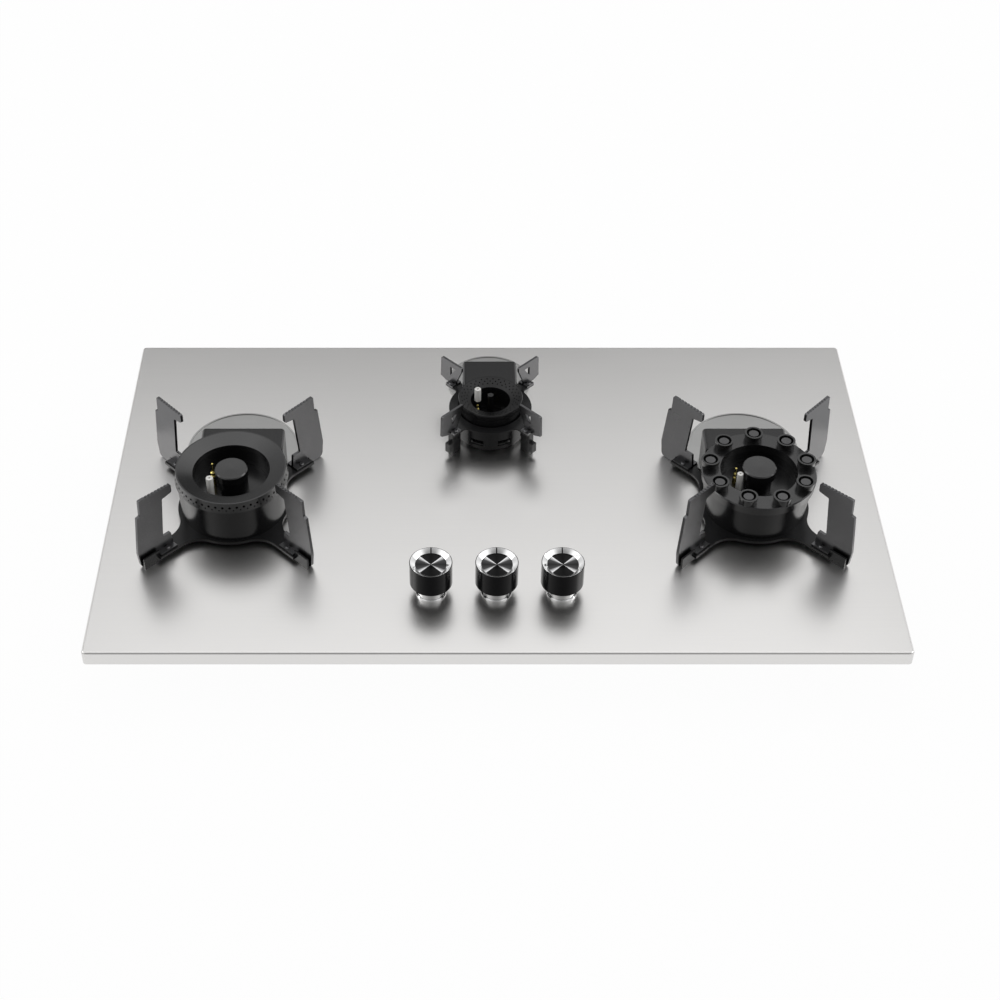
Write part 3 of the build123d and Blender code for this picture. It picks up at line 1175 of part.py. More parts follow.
def make_valve_body(x, outlet_x):
    """Valve block astride the rail, with its spindle bore, outlet and safety magnet housing."""
    half = VALVE_WIDTH / 2
    body = block(x - half, x + half, RAIL_Y, VALVE_BACK_Y, VALVE_BOTTOM_Z, VALVE_TOP_Z)
    body = chamfer(body.edges().filter_by(Axis.Z), VALVE_CHAMFER)
    body += rod(VALVE_COLLAR_RADIUS, VALVE_TOP_Z, VALVE_COLLAR_TOP_Z, x, KNOB_Y)
    magnet_y = (KNOB_Y + VALVE_BACK_Y) / 2 - MAGNET_INSET
    lie = Pos(x + half + MAGNET_LENGTH / 2, magnet_y, VALVE_BOTTOM_Z + MAGNET_RADIUS) * Rot(0, 90, 0)
    body += lie * Cylinder(MAGNET_RADIUS, MAGNET_LENGTH)
    spindle_low = TOP_HEIGHT + SPINDLE_BOTTOM_Z
    bore_low = spindle_low - KNOB_PRESS - 1
    body -= rod(SPINDLE_RADIUS + FIT_GAP, bore_low, VALVE_COLLAR_TOP_Z + 1, x, KNOB_Y)
    plunger_low = spindle_low - SEAT_GAP - PLUNGER_LENGTH
    well_low = plunger_low - KNOB_PRESS - SEAT_GAP
    body -= rod(PLUNGER_RADIUS + FIT_GAP, well_low, bore_low + 1, x, KNOB_Y)
    rail = Pos(x, RAIL_Y, RAIL_Z) * Rot(0, 90, 0) * Cylinder(RAIL_RADIUS, 2 * VALVE_WIDTH)
    body -= rail
    socket_y = VALVE_BACK_Y - VALVE_SOCKET
    body -= bar_along_y(PIPE_BORE, socket_y, VALVE_BACK_Y + 1, outlet_x, PIPE_Z)
    return body


def make_gas_rail():
    """Gas rail along the front, its return run to the back wall, and three floor saddles."""
    back = CASING_DEPTH / 2 - SHEET - INLET_HEX_LENGTH
    start = (RAIL_LEFT_END, RAIL_Y, RAIL_Z)
    points = [start, (RAIL_RETURN_X, RAIL_Y, RAIL_Z), (RAIL_RETURN_X, back, RAIL_Z)]
    rail = pipe(points, RAIL_BEND, RAIL_RADIUS, RAIL_BORE)
    along_x = Rot(0, 90, 0)
    plug_x = RAIL_LEFT_END + RAIL_PLUG / 2
    rail += Pos(plug_x, RAIL_Y, RAIL_Z) * along_x * Cylinder(RAIL_RADIUS, RAIL_PLUG)
    half = SADDLE_WIDTH / 2
    y_low, y_high = RAIL_Y - SADDLE_HALF_DEPTH, RAIL_Y + SADDLE_HALF_DEPTH
    low = CASING_FLOOR_Z
    hollow_top = RAIL_Z - RAIL_RADIUS
    bore = Pos(0, RAIL_Y, RAIL_Z) * along_x * Cylinder(RAIL_BORE, 2 * TOP_WIDTH)
    places = [RAIL_LEFT_END + half + SADDLE_END_GAP]
    places += [RAIL_RETURN_X * share for share in SADDLE_SHARES]
    for x in places:
        saddle = block(x - half, x + half, y_low, y_high, low, RAIL_Z)
        saddle -= bore
        saddle -= block(
            x - half - 1, x + half + 1, y_low + SADDLE_WALL, y_high - SADDLE_WALL,
            low + SADDLE_WALL, hollow_top,
        )
        rail += saddle
    return rail


def make_gas_inlet():
    """Hexagon inside the back wall, a plain collar through it and a threaded stub behind it."""
    wall = CASING_DEPTH / 2
    inner_face = wall - SHEET - INLET_HEX_LENGTH
    across_corners = INLET_HEX / 2 / cos(radians(30))
    lie = Pos(RAIL_RETURN_X, inner_face, RAIL_Z) * Rot(-90, 0, 0)
    hexagon = extrude(RegularPolygon(across_corners, 6), INLET_HEX_LENGTH)
    collar_y = wall + INLET_COLLAR_PROUD
    end_y = collar_y + INLET_THREAD_LENGTH + INLET_CHAMFER
    collar = bar_along_y(INLET_COLLAR_RADIUS, inner_face, collar_y, RAIL_RETURN_X, RAIL_Z)
    stub = bar_along_y(INLET_THREAD_RADIUS, inner_face, end_y, RAIL_RETURN_X, RAIL_Z)
    inlet = lie * hexagon + collar + stub
    inlet = chamfer(inlet.faces().sort_by(Axis.Y)[-1].edges(), INLET_CHAMFER)
    bore = bar_along_y(INLET_BORE, inner_face - 1, end_y + 1, RAIL_RETURN_X, RAIL_Z)
    return inlet - bore


def injector_face_y(burner_y, reach, drop):
    """Y of the injector's pipe end for a burner at burner_y."""
    mouth_y = burner_y + reach - drop + DUCT_WALL - VENTURI_LENGTH
    return mouth_y - INJECTOR_GAP - INJECTOR_LENGTH


def make_gas_pipe_side(side):
    """Pipe from an outer valve to the injector of the burner on the same side."""
    end_y = injector_face_y(SIDE_BURNER_Y, SIDE_DUCT_REACH, SIDE_DUCT_DROP)
    valve_x = side * KNOB_PITCH
    burner_x = side * SIDE_BURNER_X
    points = [(valve_x, VALVE_BACK_Y, PIPE_Z), (valve_x, PIPE_TURN_Y, PIPE_Z)]
    points += [(burner_x, PIPE_TURN_Y, PIPE_Z), (burner_x, end_y, PIPE_Z)]
    return pipe(points, PIPE_BEND, PIPE_RADIUS, PIPE_BORE)


def make_gas_pipe_middle():
    """Straight pipe from the middle valve to the middle burner's injector."""
    end_y = injector_face_y(MIDDLE_BURNER_Y, SMALL_DUCT_REACH, SMALL_DUCT_DROP)
    start = (MIDDLE_BURNER_X, VALVE_BACK_Y, PIPE_Z)
    end = (MIDDLE_BURNER_X, end_y, PIPE_Z)
    return pipe([start, end], PIPE_BEND, PIPE_RADIUS, PIPE_BORE)


def make_injectors():
    """Brass injectors, each with a fine jet that faces a mixing tube."""
    places = []
    for side in (-1, 1):
        end_y = injector_face_y(SIDE_BURNER_Y, SIDE_DUCT_REACH, SIDE_DUCT_DROP)
        places.append((side * SIDE_BURNER_X, end_y))
    end_y = injector_face_y(MIDDLE_BURNER_Y, SMALL_DUCT_REACH, SMALL_DUCT_DROP)
    places.append((MIDDLE_BURNER_X, end_y))
    nose = INJECTOR_RADIUS * INJECTOR_NOSE
    shoulder = INJECTOR_LENGTH * INJECTOR_NOSE
    jet_start = INJECTOR_LENGTH - INJECTOR_JET_LENGTH
    outline = [(PIPE_BORE, 0), (INJECTOR_RADIUS, 0), (INJECTOR_RADIUS, shoulder)]
    outline += [(nose, shoulder + INJECTOR_TAPER), (nose, INJECTOR_LENGTH)]
    outline += [(INJECTOR_JET, INJECTOR_LENGTH), (INJECTOR_JET, jet_start)]
    outline += [(PIPE_BORE, jet_start - INJECTOR_CONE)]
    injector = Rot(-90, 0, 0) * turned(outline)
    return group([Pos(x, y, PIPE_Z) * injector for x, y in places])


def make_battery_box():
    """Plastic box through the casing's floor, open below, with rails for a sliding lid."""
    half_width = BATTERY_WIDTH / 2
    half_length = BATTERY_LENGTH / 2
    rail_low = LID_TOP_Z - LID_THICK - SEAT_GAP - LID_RAIL_THICK
    outer = block(-half_width, half_width, -half_length, half_length, rail_low, BATTERY_TOP_Z)
    outer += block(
        -half_width - BATTERY_FLANGE, half_width + BATTERY_FLANGE,
        -half_length, half_length + BATTERY_FLANGE, CASING_FLOOR_Z, CASING_FLOOR_Z + BATTERY_WALL,
    )
    inner_half_width = half_width - BATTERY_WALL
    inner_half_length = half_length - BATTERY_WALL
    roof = BATTERY_TOP_Z - BATTERY_WALL
    lip_top = rail_low + LID_RAIL_THICK
    box = outer - block(
        -inner_half_width, inner_half_width, -inner_half_length, inner_half_length, lip_top, roof
    )
    lip_half = inner_half_width - LID_RAIL_LIP
    box -= block(-lip_half, lip_half, -half_length - 1, inner_half_length, rail_low - 1, lip_top)
    door_top = LID_TOP_Z + SEAT_GAP
    box -= block(
        -inner_half_width, inner_half_width, -half_length - 1, -inner_half_length + 1,
        lip_top, door_top,
    )
    cell_half = CELL_LENGTH / 2
    for low, high in (
        (-inner_half_length, -cell_half),
        (cell_half + CELL_STUD_LENGTH, inner_half_length),
    ):
        box += bar_along_y(CELL_STUD_RADIUS, low, high, 0, cell_centre_z())
    return Pos(BATTERY_X, BATTERY_Y, 0) * box


def cell_centre_z():
    """Height of the battery cell's axis."""
    low = LID_TOP_Z + 2 * SEAT_GAP
    high = BATTERY_TOP_Z - BATTERY_WALL
    return (low + high) / 2


def make_battery_cell():
    """Round cell with its raised contact."""
    half = CELL_LENGTH / 2
    z = cell_centre_z()
    cell = bar_along_y(CELL_RADIUS, -half, half, 0, z)
    cell = chamfer(cell.edges().filter_by(GeomType.CIRCLE), CELL_CHAMFER)
    cell += bar_along_y(CELL_STUD_RADIUS, half - 1, half + CELL_STUD_LENGTH, 0, z)
    return Pos(BATTERY_X, BATTERY_Y, 0) * cell


def make_battery_lid():
    """Flat lid that slides forward out of the box's rails, with a finger groove."""
    half_width = BATTERY_WIDTH / 2 - BATTERY_WALL - SEAT_GAP
    half_length = BATTERY_LENGTH / 2 - BATTERY_WALL - SEAT_GAP
    low = LID_TOP_Z - LID_THICK
    lid = block(-half_width, half_width, -half_length, half_length, low, LID_TOP_Z)
    groove_half = half_width / 2
    for i in range(LID_GRIP_COUNT):
        y = -half_length + LID_GRIP_INSET + LID_GRIP_PITCH * i
        lid -= block(-groove_half, groove_half, y, y + LID_GRIP_WIDTH, low - 1, low + LID_GRIP_DEPTH)
    return Pos(BATTERY_X, BATTERY_Y, 0) * lid


def make_spark_unit():
    """Spark unit with three high-voltage terminals."""
    low = CASING_FLOOR_Z
    high = low + SPARK_HEIGHT
    unit = block(-SPARK_WIDTH / 2, SPARK_WIDTH / 2, -SPARK_DEPTH / 2, SPARK_DEPTH / 2, low, high)
    unit = fillet(unit.edges().filter_by(Axis.Z), SPARK_CORNER)
    ear_end = SPARK_WIDTH / 2 + SPARK_EAR_REACH
    half_ear = SPARK_EAR_WIDTH / 2
    unit += block(-ear_end, ear_end, -half_ear, half_ear, low, low + SPARK_EAR_THICK)
    step = SPARK_WIDTH / (SPARK_TERMINALS + 1)
    post_top = high + SPARK_POST_HEIGHT
    for i in range(SPARK_TERMINALS):
        x = -SPARK_WIDTH / 2 + step * (i + 1)
        unit += rod(SPARK_POST_RADIUS, high, post_top, x, 0)
        unit -= rod(SPARK_PIN_RADIUS, high + SPARK_EAR_THICK, post_top + 1, x, 0)
    return Pos(SPARK_X, SPARK_Y, 0) * unit


def four(piece):
    """The four copies of a blade or screw on a pan support's arms, as one node."""
    return group(around(piece, ARM_COUNT, FIRST_ARM_ANGLE))


def knob_places():
    """Name of each control, its column, and the column of the gas pipe that leaves its valve."""
    outlets = [-KNOB_PITCH, MIDDLE_BURNER_X, KNOB_PITCH]
    return list(zip(("left", "middle", "right"), panel_hole_columns(), outlets))


def build():
    """Every node of the hob by name."""
    nodes = {
        "top_panel": make_top_panel(),
        "seal_strip": make_seal_strip(),
        "casing_pan": make_casing(),
        "casing_screws": make_casing_screws(),
        "clamp_brackets": make_clamp_brackets(),
        "burner_body_left": LEFT_PLACE * make_burner_body_left(),
        "burner_body_right": RIGHT_PLACE * make_burner_body_right(),
        "burner_body_middle": MIDDLE_PLACE * make_burner_body_middle(),
        "flame_ring_left": LEFT_PLACE * make_flame_ring_left(),
        "flame_head_right": RIGHT_PLACE * make_flame_head_right(),
        "port_plugs_right": RIGHT_PLACE * make_port_plugs_right(),
        "flame_cap_middle": MIDDLE_PLACE * make_flame_cap_middle(),
        "centre_cap_left": LEFT_PLACE * make_centre_cap(RING_CAP_RADIUS, RING_CAP_BASE_Z, RING_CAP_TOP_Z),
        "centre_cap_right": RIGHT_PLACE * make_centre_cap(PORT_CAP_RADIUS, PORT_CAP_BASE_Z, PORT_CAP_TOP_Z),
        "electrode_left": LEFT_PLACE * make_electrode(LEFT_ELECTRODE, RING_WELL_FLOOR_Z),
        "electrode_right": RIGHT_PLACE * make_electrode(RIGHT_ELECTRODE, PORT_WELL_FLOOR_Z),
        "electrode_middle": MIDDLE_PLACE * make_electrode(MIDDLE_ELECTRODE, SMALL_WELL_FLOOR_Z),
        "thermocouple_left": LEFT_PLACE * make_thermocouple(LEFT_THERMOCOUPLE, RING_WELL_FLOOR_Z),
        "thermocouple_right": RIGHT_PLACE * make_thermocouple(RIGHT_THERMOCOUPLE, PORT_WELL_FLOOR_Z),
        "thermocouple_middle": MIDDLE_PLACE * make_thermocouple(MIDDLE_THERMOCOUPLE, SMALL_WELL_FLOOR_Z),
        "gas_rail": make_gas_rail(),
        "gas_inlet": make_gas_inlet(),
        "gas_pipe_left": make_gas_pipe_side(-1),
        "gas_pipe_right": make_gas_pipe_side(1),
        "gas_pipe_middle": make_gas_pipe_middle(),
        "injectors": make_injectors(),
        "battery_box": make_battery_box(),
        "battery_cell": make_battery_cell(),
        "battery_lid": make_battery_lid(),
        "spark_unit": make_spark_unit(),
    }
    small_disc = make_duct_disc(
        SMALL_DISC_RADIUS, SMALL_DISC_BEHIND, SMALL_DUCT_WIDTH, SMALL_DUCT_REACH, SMALL_DUCT_DROP, 0
    )
    side_blades = four(make_side_blade())
    side_screws = four(make_side_screws())
    for name, place, offset, shift in (
        ("left", LEFT_PLACE, SIDE_DUCT_OFFSET, LEFT_SUPPORT_SHIFT),
        ("right", RIGHT_PLACE, -SIDE_DUCT_OFFSET, RIGHT_SUPPORT_SHIFT),
    ):
        support_place = place * Pos(*shift, 0)
        nodes["duct_disc_" + name] = place * make_duct_disc(
            SIDE_DISC_RADIUS, SIDE_DISC_BEHIND,
            SIDE_DUCT_WIDTH, SIDE_DUCT_REACH, SIDE_DUCT_DROP, offset,
        )
        nodes["support_base_" + name] = support_place * make_support_base_side(offset)
        nodes["support_blades_" + name] = support_place * side_blades
        nodes["support_screws_" + name] = support_place * side_screws
    nodes["duct_disc_middle"] = MIDDLE_PLACE * small_disc
    nodes["support_base_middle"] = MIDDLE_PLACE * make_support_base_middle()
    nodes["support_blades_middle"] = MIDDLE_PLACE * four(make_small_blade())
    nodes["support_screws_middle"] = MIDDLE_PLACE * four(make_small_screws())
    knob = make_knob()
    face = make_knob_face()
    bezel = make_knob_bezel()
    spindle = make_valve_spindle()
    plunger = make_valve_plunger()
    for name, x, outlet_x in knob_places():
        place = Pos(x, KNOB_Y, TOP_HEIGHT)
        nodes["knob_" + name] = place * knob
        nodes["knob_face_" + name] = place * face
        nodes["knob_bezel_" + name] = place * bezel
        nodes["valve_spindle_" + name] = place * spindle
        nodes["valve_plunger_" + name] = place * plunger
        nodes["valve_body_" + name] = make_valve_body(x, outlet_x)
    return nodes


def main():
    os.makedirs("parts", exist_ok=True)
    for name, shape in build().items():
        export_step(shape, f"parts/{name}.step")


main()
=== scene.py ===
import json
import math

import bpy
from bpy.props import FloatProperty, FloatVectorProperty, PointerProperty
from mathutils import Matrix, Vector


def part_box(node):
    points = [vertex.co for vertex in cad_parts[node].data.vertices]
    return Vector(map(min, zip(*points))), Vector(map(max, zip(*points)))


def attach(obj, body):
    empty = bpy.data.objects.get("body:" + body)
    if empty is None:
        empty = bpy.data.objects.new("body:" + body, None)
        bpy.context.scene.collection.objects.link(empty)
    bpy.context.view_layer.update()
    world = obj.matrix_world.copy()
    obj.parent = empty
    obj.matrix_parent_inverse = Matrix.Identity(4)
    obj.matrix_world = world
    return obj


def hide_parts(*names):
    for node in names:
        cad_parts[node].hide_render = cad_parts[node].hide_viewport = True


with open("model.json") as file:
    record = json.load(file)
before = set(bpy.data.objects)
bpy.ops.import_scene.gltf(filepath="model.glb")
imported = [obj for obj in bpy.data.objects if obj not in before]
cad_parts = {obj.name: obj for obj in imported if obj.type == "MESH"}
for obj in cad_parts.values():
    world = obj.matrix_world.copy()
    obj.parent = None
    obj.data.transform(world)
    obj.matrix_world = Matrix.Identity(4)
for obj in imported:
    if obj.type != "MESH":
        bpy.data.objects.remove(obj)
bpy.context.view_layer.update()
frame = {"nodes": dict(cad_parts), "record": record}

bl_info = {
    "name": "Gas Hob Dressing",
    "version": (1, 0, 0),
    "blender": (4, 5, 0),
    "location": "3D View > Sidebar > Hob",
    "description": "Finishes, detail pieces and a studio for a three-burner gas hob",
    "category": "Object",
}

SIDES = ("left", "middle", "right")

# How many sides the turned pieces have.
TUBE_TURNS = 32
SCREW_TURNS = 28
KNOB_TURNS = 128

# Angles in degrees between faces, under which a piece is shaded smooth.
SMOOTH_KNOB = 32
SMOOTH_SCREW = 40
SMOOTH_TUBE = 50

# Small sizes of the detail pieces, in metres.
COLLAR_SHOULDER = 0.002
RING_LIP = 0.0002
DISC_STEP = 0.0002
POINTER_THICKNESS = 0.0003
POINTER_EASE = 0.0001

# Shares of an electrode's radius, and of its collar's at the top.
CERAMIC_EDGE = 0.12
CERAMIC_HOLE = 0.3
COLLAR_TOP = 0.93

# The supports' screws: the head's share of the length, the shank's share of the head's radius, and
# the head's outline in shares of its radius and height.
HEAD_SHARE = 0.3
SHANK_SHARE = 0.55
HEAD_OUTLINE = ((0.97, 0.0), (1.0, 0.15), (1.0, 0.45), (0.86, 0.78), (0.6, 0.94), (0.3, 1.0))

# The bars that cut a screw's recess: their height as a share of the head's, and a turn in radians.
RECESS_BAR = 1.1
RECESS_TURN = 0.3

# How near two corners are the same: in a made piece, and in a CAD node that is taken apart.
SAME_CORNER = 1e-7
SAME_CAD_CORNER = 1e-6

# The studio, in metres and watts. The floor shows mostly white, and the sky lights the hob evenly.
# Each lamp has its name, place, aim, width and power.
FLOOR_WIDTH = 14
FLOOR_DROP = 0.0005
SEEN_WHITE = 0.97
EVEN_LEVEL = 0.55
LAMPS = (
    ("lamp_over", (0.0, 1.1, 2.2), (0, 0, 0), 2.4, 14),
    ("lamp_left", (-1.9, 0.2, 1.3), (0, 0, 0.08), 1.0, 7),
    ("lamp_right", (1.9, 0.2, 1.3), (0, 0, 0.08), 1.0, 7),
)

# What shiny pieces mirror of the studio: how far a direction goes up, sideways, right or back, and
# the light there. In front of the hob the light is even, and the side light is a share of itself.
LIGHT_BEHIND = ((0.15, 0.25), (0.45, 0.0), (0.62, 0.03), (0.8, 0.55), (1.0, 0.62))
LIGHT_BESIDE = ((0.08, 0.0), (0.32, 0.12), (0.6, 0.85), (0.75, 0.7), (0.92, 0.2))
LIGHT_RIGHTWARD = ((0.0, 0.0), (0.25, 0.1))
LIGHT_FACING = ((0.3, 0.0), (0.45, 1.0))
LIGHT_IN_FRONT = 0.3
BESIDE_IN_FRONT = 0.6

# The spun disc's four painted highlight rays: the angle off the hob's width, from 0 to 1 for a
# right angle, and the tone.
DISC_PAINTED_RAYS = ((0.0, 0.03), (0.3, 0.08), (0.42, 0.6), (0.5, 1.0), (0.535, 0.02), (1.0, 0.01))


def colour(name, default, about):
    """A colour that the user can change."""
    return FloatVectorProperty(
        name=name, description=about, default=default, size=3, min=0, max=1, subtype="COLOR"
    )


def length(name, default, about):
    """A length in metres that the user can change."""
    return FloatProperty(
        name=name, description=about, default=default, min=0, unit="LENGTH", precision=5
    )


class HobColours(bpy.types.PropertyGroup):
    """The colours of the hob's finishes."""

    top: colour("Top", (0.73, 0.722, 0.712), "Brushed steel of the top panel")
    zinc: colour("Casing", (0.52, 0.53, 0.54), "Zinc-coated sheet of the casing")
    screw: colour("Screws", (0.16, 0.16, 0.165), "Dark plated screws")
    foam: colour("Seal", (0.03, 0.03, 0.03), "Closed-cell foam strip")
    disc: colour("Duct discs", (0.42, 0.42, 0.415), "Plain steel of the duct discs")
    burner: colour("Burners", (0.006, 0.006, 0.0065), "Glossy enamel of the burner drums")
    ring: colour("Flame rings", (0.007, 0.007, 0.0073), "Satin enamel of rings and caps")
    plug: colour("Cup plates", (0.035, 0.035, 0.037), "Satin grey of the plates in the cups")
    support: colour("Pan supports", (0.01, 0.01, 0.0105), "Satin enamel of the pan supports")
    blade: colour("Support blades", (0.12, 0.12, 0.123), "Blackened steel sheet of the blades")
    ceramic: colour("Ceramic", (0.86, 0.85, 0.82), "Glazed ceramic of the electrodes")
    brass: colour("Brass", (0.8, 0.66, 0.22), "Turned brass of small gas fittings")
    alloy: colour("Valves", (0.62, 0.63, 0.64), "Cast alloy of valves and pipes")
    knob: colour("Knobs", (0.004, 0.004, 0.0045), "High-gloss black of the knobs")
    # The spun colour is the tone of the painted highlight rays on the knob discs; between the rays
    # the discs are near black.
    spun: colour("Knob discs", (0.9, 0.9, 0.91), "Spun disc on top of each knob")
    bright: colour("Bright trim", (0.86, 0.86, 0.86), "Polished bezels and bevels")
    plastic: colour("Battery box", (0.03, 0.03, 0.032), "Matt plastic of the hidden boxes")
    wrap: colour("Battery cell", (0.3, 0.31, 0.33), "Plain wrap of the battery cell")
    floor: colour("Floor", (0.96, 0.96, 0.96), "Pale floor and background")


class HobSizes(bpy.types.PropertyGroup):
    """The sizes of the detail pieces, and the camera's place and lens."""

    knob_pitch: length("Knob pitch", 0.063, "Distance between the axes of two knobs")
    knob_line: FloatProperty(
        name="Knob line", description="Where the knobs' axes stand along the hob's depth",
        default=-0.152, unit="LENGTH", precision=5,
    )
    knob_top: length("Knob top", 0.1, "Height of the knobs' upper rim")
    rim_radius: length("Ring radius", 0.0201, "Outer radius of the bright ring")
    disc_radius: length("Disc radius", 0.0151, "Radius of the sunk disc")
    disc_drop: length("Disc drop", 0.0027, "Drop of the bright ring to the disc")
    pointer_width: length("Pointer width", 0.0013, "Width of the pointer line")
    ceramic_length: length("Bare ceramic", 0.015, "Ceramic that stands out of the middle collar")
    collar_wall: length("Collar wall", 0.0004, "Wall of the collar round the middle electrode")
    screw_radius: length("Screw head radius", 0.0026, "Radius of the supports' screw heads")
    recess_length: length("Recess length", 0.003, "Length of each arm pair of a cross recess")
    recess_width: length("Recess width", 0.0008, "Width of a cross recess")
    camera_x: FloatProperty(
        name="Camera across", description="Camera's place along the hob's width",
        default=-0.04193, unit="LENGTH", precision=5,
    )
    camera_y: FloatProperty(
        name="Camera in front", description="Camera's place along the hob's depth",
        default=-1.37328, unit="LENGTH", precision=5,
    )
    camera_z: FloatProperty(
        name="Camera height", description="Camera's height over the hob's lowest point",
        default=1.30314, unit="LENGTH", precision=5,
    )
    camera_dip: FloatProperty(
        name="Camera dip", description="Angle by which the camera looks down",
        default=math.radians(42.596), unit="ROTATION",
    )
    camera_lens: FloatProperty(
        name="Lens", description="Focal length in millimetres", default=64.81, min=10
    )
    camera_shift: FloatProperty(
        name="Shift", description="Sideways shift that frames the hob", default=0.04706
    )


class Shade:
    """One socket in a material, so that shader maths reads as plain Python."""

    def __init__(self, tree, socket=None):
        self.tree = tree
        self.socket = socket

    def node(self, kind, sockets=None, output=0, stops=None, **settings):
        """Adds one node: its settings first, then the values or links of its sockets."""
        made = self.tree.nodes.new(kind)
        for name, value in settings.items():
            setattr(made, name, value)
        if stops:
            ramp = made.color_ramp
            while len(ramp.elements) < len(stops):
                ramp.elements.new(0.5)
            for element, (place, tone) in zip(ramp.elements, stops):
                element.position = place
                element.color = (tone, tone, tone, 1)
        for key, value in (sockets or {}).items():
            if isinstance(value, Shade):
                self.tree.links.new(value.socket, made.inputs[key])
            else:
                made.inputs[key].default_value = value
        return Shade(self.tree, made.outputs[output] if made.outputs else None)

    def maths(self, operation, first, second):
        return self.node("ShaderNodeMath", {0: first, 1: second}, operation=operation)

    def size_only(self):
        """The value without its sign."""
        return self.maths("ABSOLUTE", self, 0.0)

    def part(self, axis):
        """The X, Y or Z of this vector."""
        return self.node("ShaderNodeSeparateXYZ", {0: self}, output=axis)

    def joined(self):
        """A vector with this value as its X."""
        return self.node("ShaderNodeCombineXYZ", {0: self})

    def __add__(self, other):
        return self.maths("ADD", self, other)

    def __sub__(self, other):
        return self.maths("SUBTRACT", self, other)

    def __mul__(self, other):
        return self.maths("MULTIPLY", self, other)

    def __rsub__(self, other):
        return self.maths("SUBTRACT", other, self)


def noise(place, scale, detail=2.0, roughness=0.5):
    """Even noise from 0 to 1 over the surface."""
    sockets = {"Vector": place, "Scale": scale, "Detail": detail, "Roughness": roughness}
    return place.node("ShaderNodeTexNoise", sockets)


def stretched(place, across, along, up):
    """The surface's coordinates, scaled unevenly so that a pattern runs one way."""
    return place.node("ShaderNodeMapping", {"Vector": place, "Scale": (across, along, up)})


def ramp(value, *stops):
    """A value turned by straight steps from place to tone."""
    return value.node("ShaderNodeValToRGB", {"Fac": value}, stops=stops)


def toned(factor, base, other):
    """The base colour going to the other colour as the factor goes from 0 to 1."""
    sockets = {0: factor, 6: (*base, 1), 7: (*other, 1)}
    return factor.node("ShaderNodeMix", sockets, output=2, data_type="RGBA")


def scaled_colour(base, times):
    """A colour made darker or lighter."""
    return tuple(min(part * times, 1.0) for part in base)


def relief(height, depth, strength=1.0):
    """Normals from a height pattern of the given depth in metres."""
    sockets = {"Height": height, "Distance": depth, "Strength": strength}
    return height.node("ShaderNodeBump", sockets)


def brushed_top(place, base):
    """Fine straight brushing along the width, with a faint unevenness of the light it spreads."""
    fine = noise(stretched(place, 7, 3000, 3000), 1, 2, 0.6)
    broad = noise(stretched(place, 1.2, 420, 420), 1, 2)
    cloud = noise(stretched(place, 5, 9, 9), 1, 2)
    strokes = ramp(fine * 0.8 + broad * 0.2, (0.3, 0.0), (0.7, 1.0))
    return {
        "Base Color": toned(strokes, scaled_colour(base, 0.98), scaled_colour(base, 1.015)),
        "Metallic": 1.0,
        "Roughness": strokes * 0.03 + cloud * 0.04 + 0.28,
        "Normal": relief(strokes, 0.000004),
    }


def zinc_sheet(place, base):
    """Spangled zinc with a soft cloudiness."""
    cells = {"Vector": place, "Scale": 95.0}
    spangle = place.node("ShaderNodeTexVoronoi", cells, output="Color")
    flakes = spangle.node("ShaderNodeSeparateColor", {"Color": spangle})
    cloud = noise(place, 14)
    tone = flakes * 0.5 + cloud * 0.5
    return {
        "Base Color": toned(tone, scaled_colour(base, 0.84), scaled_colour(base, 1.1)),
        "Metallic": 0.9,
        "Roughness": flakes * 0.12 + 0.36,
        "Normal": relief(cloud, 0.0001, 0.3),
    }


def plated_screw(place, base):
    """Dark plating with small rubbed spots."""
    rubbed = ramp(noise(place, 700, 3), (0.55, 0.0), (0.75, 1.0))
    return {
        "Base Color": toned(rubbed, base, scaled_colour(base, 2.4)),
        "Metallic": 0.9,
        "Roughness": 0.42 - rubbed * 0.12,
    }


def foam_strip(place, base):
    """Small closed cells."""
    cells = place.node("ShaderNodeTexVoronoi", {"Vector": place, "Scale": 1400.0})
    return {
        "Base Color": toned(cells, base, scaled_colour(base, 2.2)),
        "Roughness": 0.95,
        "Normal": relief(cells, 0.0002, 0.6),
    }


def rolled_disc(place, base):
    """Plain rolled steel with faint straight rolling marks."""
    marks = noise(stretched(place, 40, 900, 900), 1, 3)
    cloud = noise(place, 22, 3)
    tone = marks * 0.5 + cloud * 0.5
    return {
        "Base Color": toned(tone, scaled_colour(base, 0.85), scaled_colour(base, 1.12)),
        "Metallic": 1.0,
        "Roughness": tone * 0.14 + 0.27,
        "Normal": relief(marks, 0.00001),
    }


def fired_enamel(place, base):
    """Fired enamel of the drums, with a slight orange peel."""
    peel = noise(place, 260, 2)
    speck = ramp(noise(place, 1500, 2), (0.62, 0.0), (0.72, 1.0))
    return {
        "Base Color": toned(speck, base, scaled_colour(base, 2.2)),
        "Roughness": peel * 0.04 + 0.23,
        "Normal": relief(peel, 0.00003, 0.2),
    }


def dark_enamel(place, base):
    """Dull dark enamel of the pan supports and the middle cap."""
    peel = noise(place, 320, 3)
    return {
        "Base Color": toned(peel, base, scaled_colour(base, 1.6)),
        "Roughness": peel * 0.05 + 0.23,
        "Specular IOR Level": 0.26,
        "Normal": relief(peel, 0.00003, 0.2),
    }


def satin_enamel(place, base):
    """Satin enamel over cast or cut iron, finely rough, worn lighter in small spots."""
    grain = noise(place, 900, 4, 0.6)
    cloud = noise(place, 45, 3)
    worn = ramp(grain * 0.6 + cloud * 0.4, (0.5, 0.0), (0.72, 1.0))
    return {
        "Base Color": toned(worn, base, scaled_colour(base, 2.3)),
        "Roughness": cloud * 0.1 + 0.18,
        "Specular IOR Level": 0.78,
        "Normal": relief(grain, 0.00003, 0.3),
    }


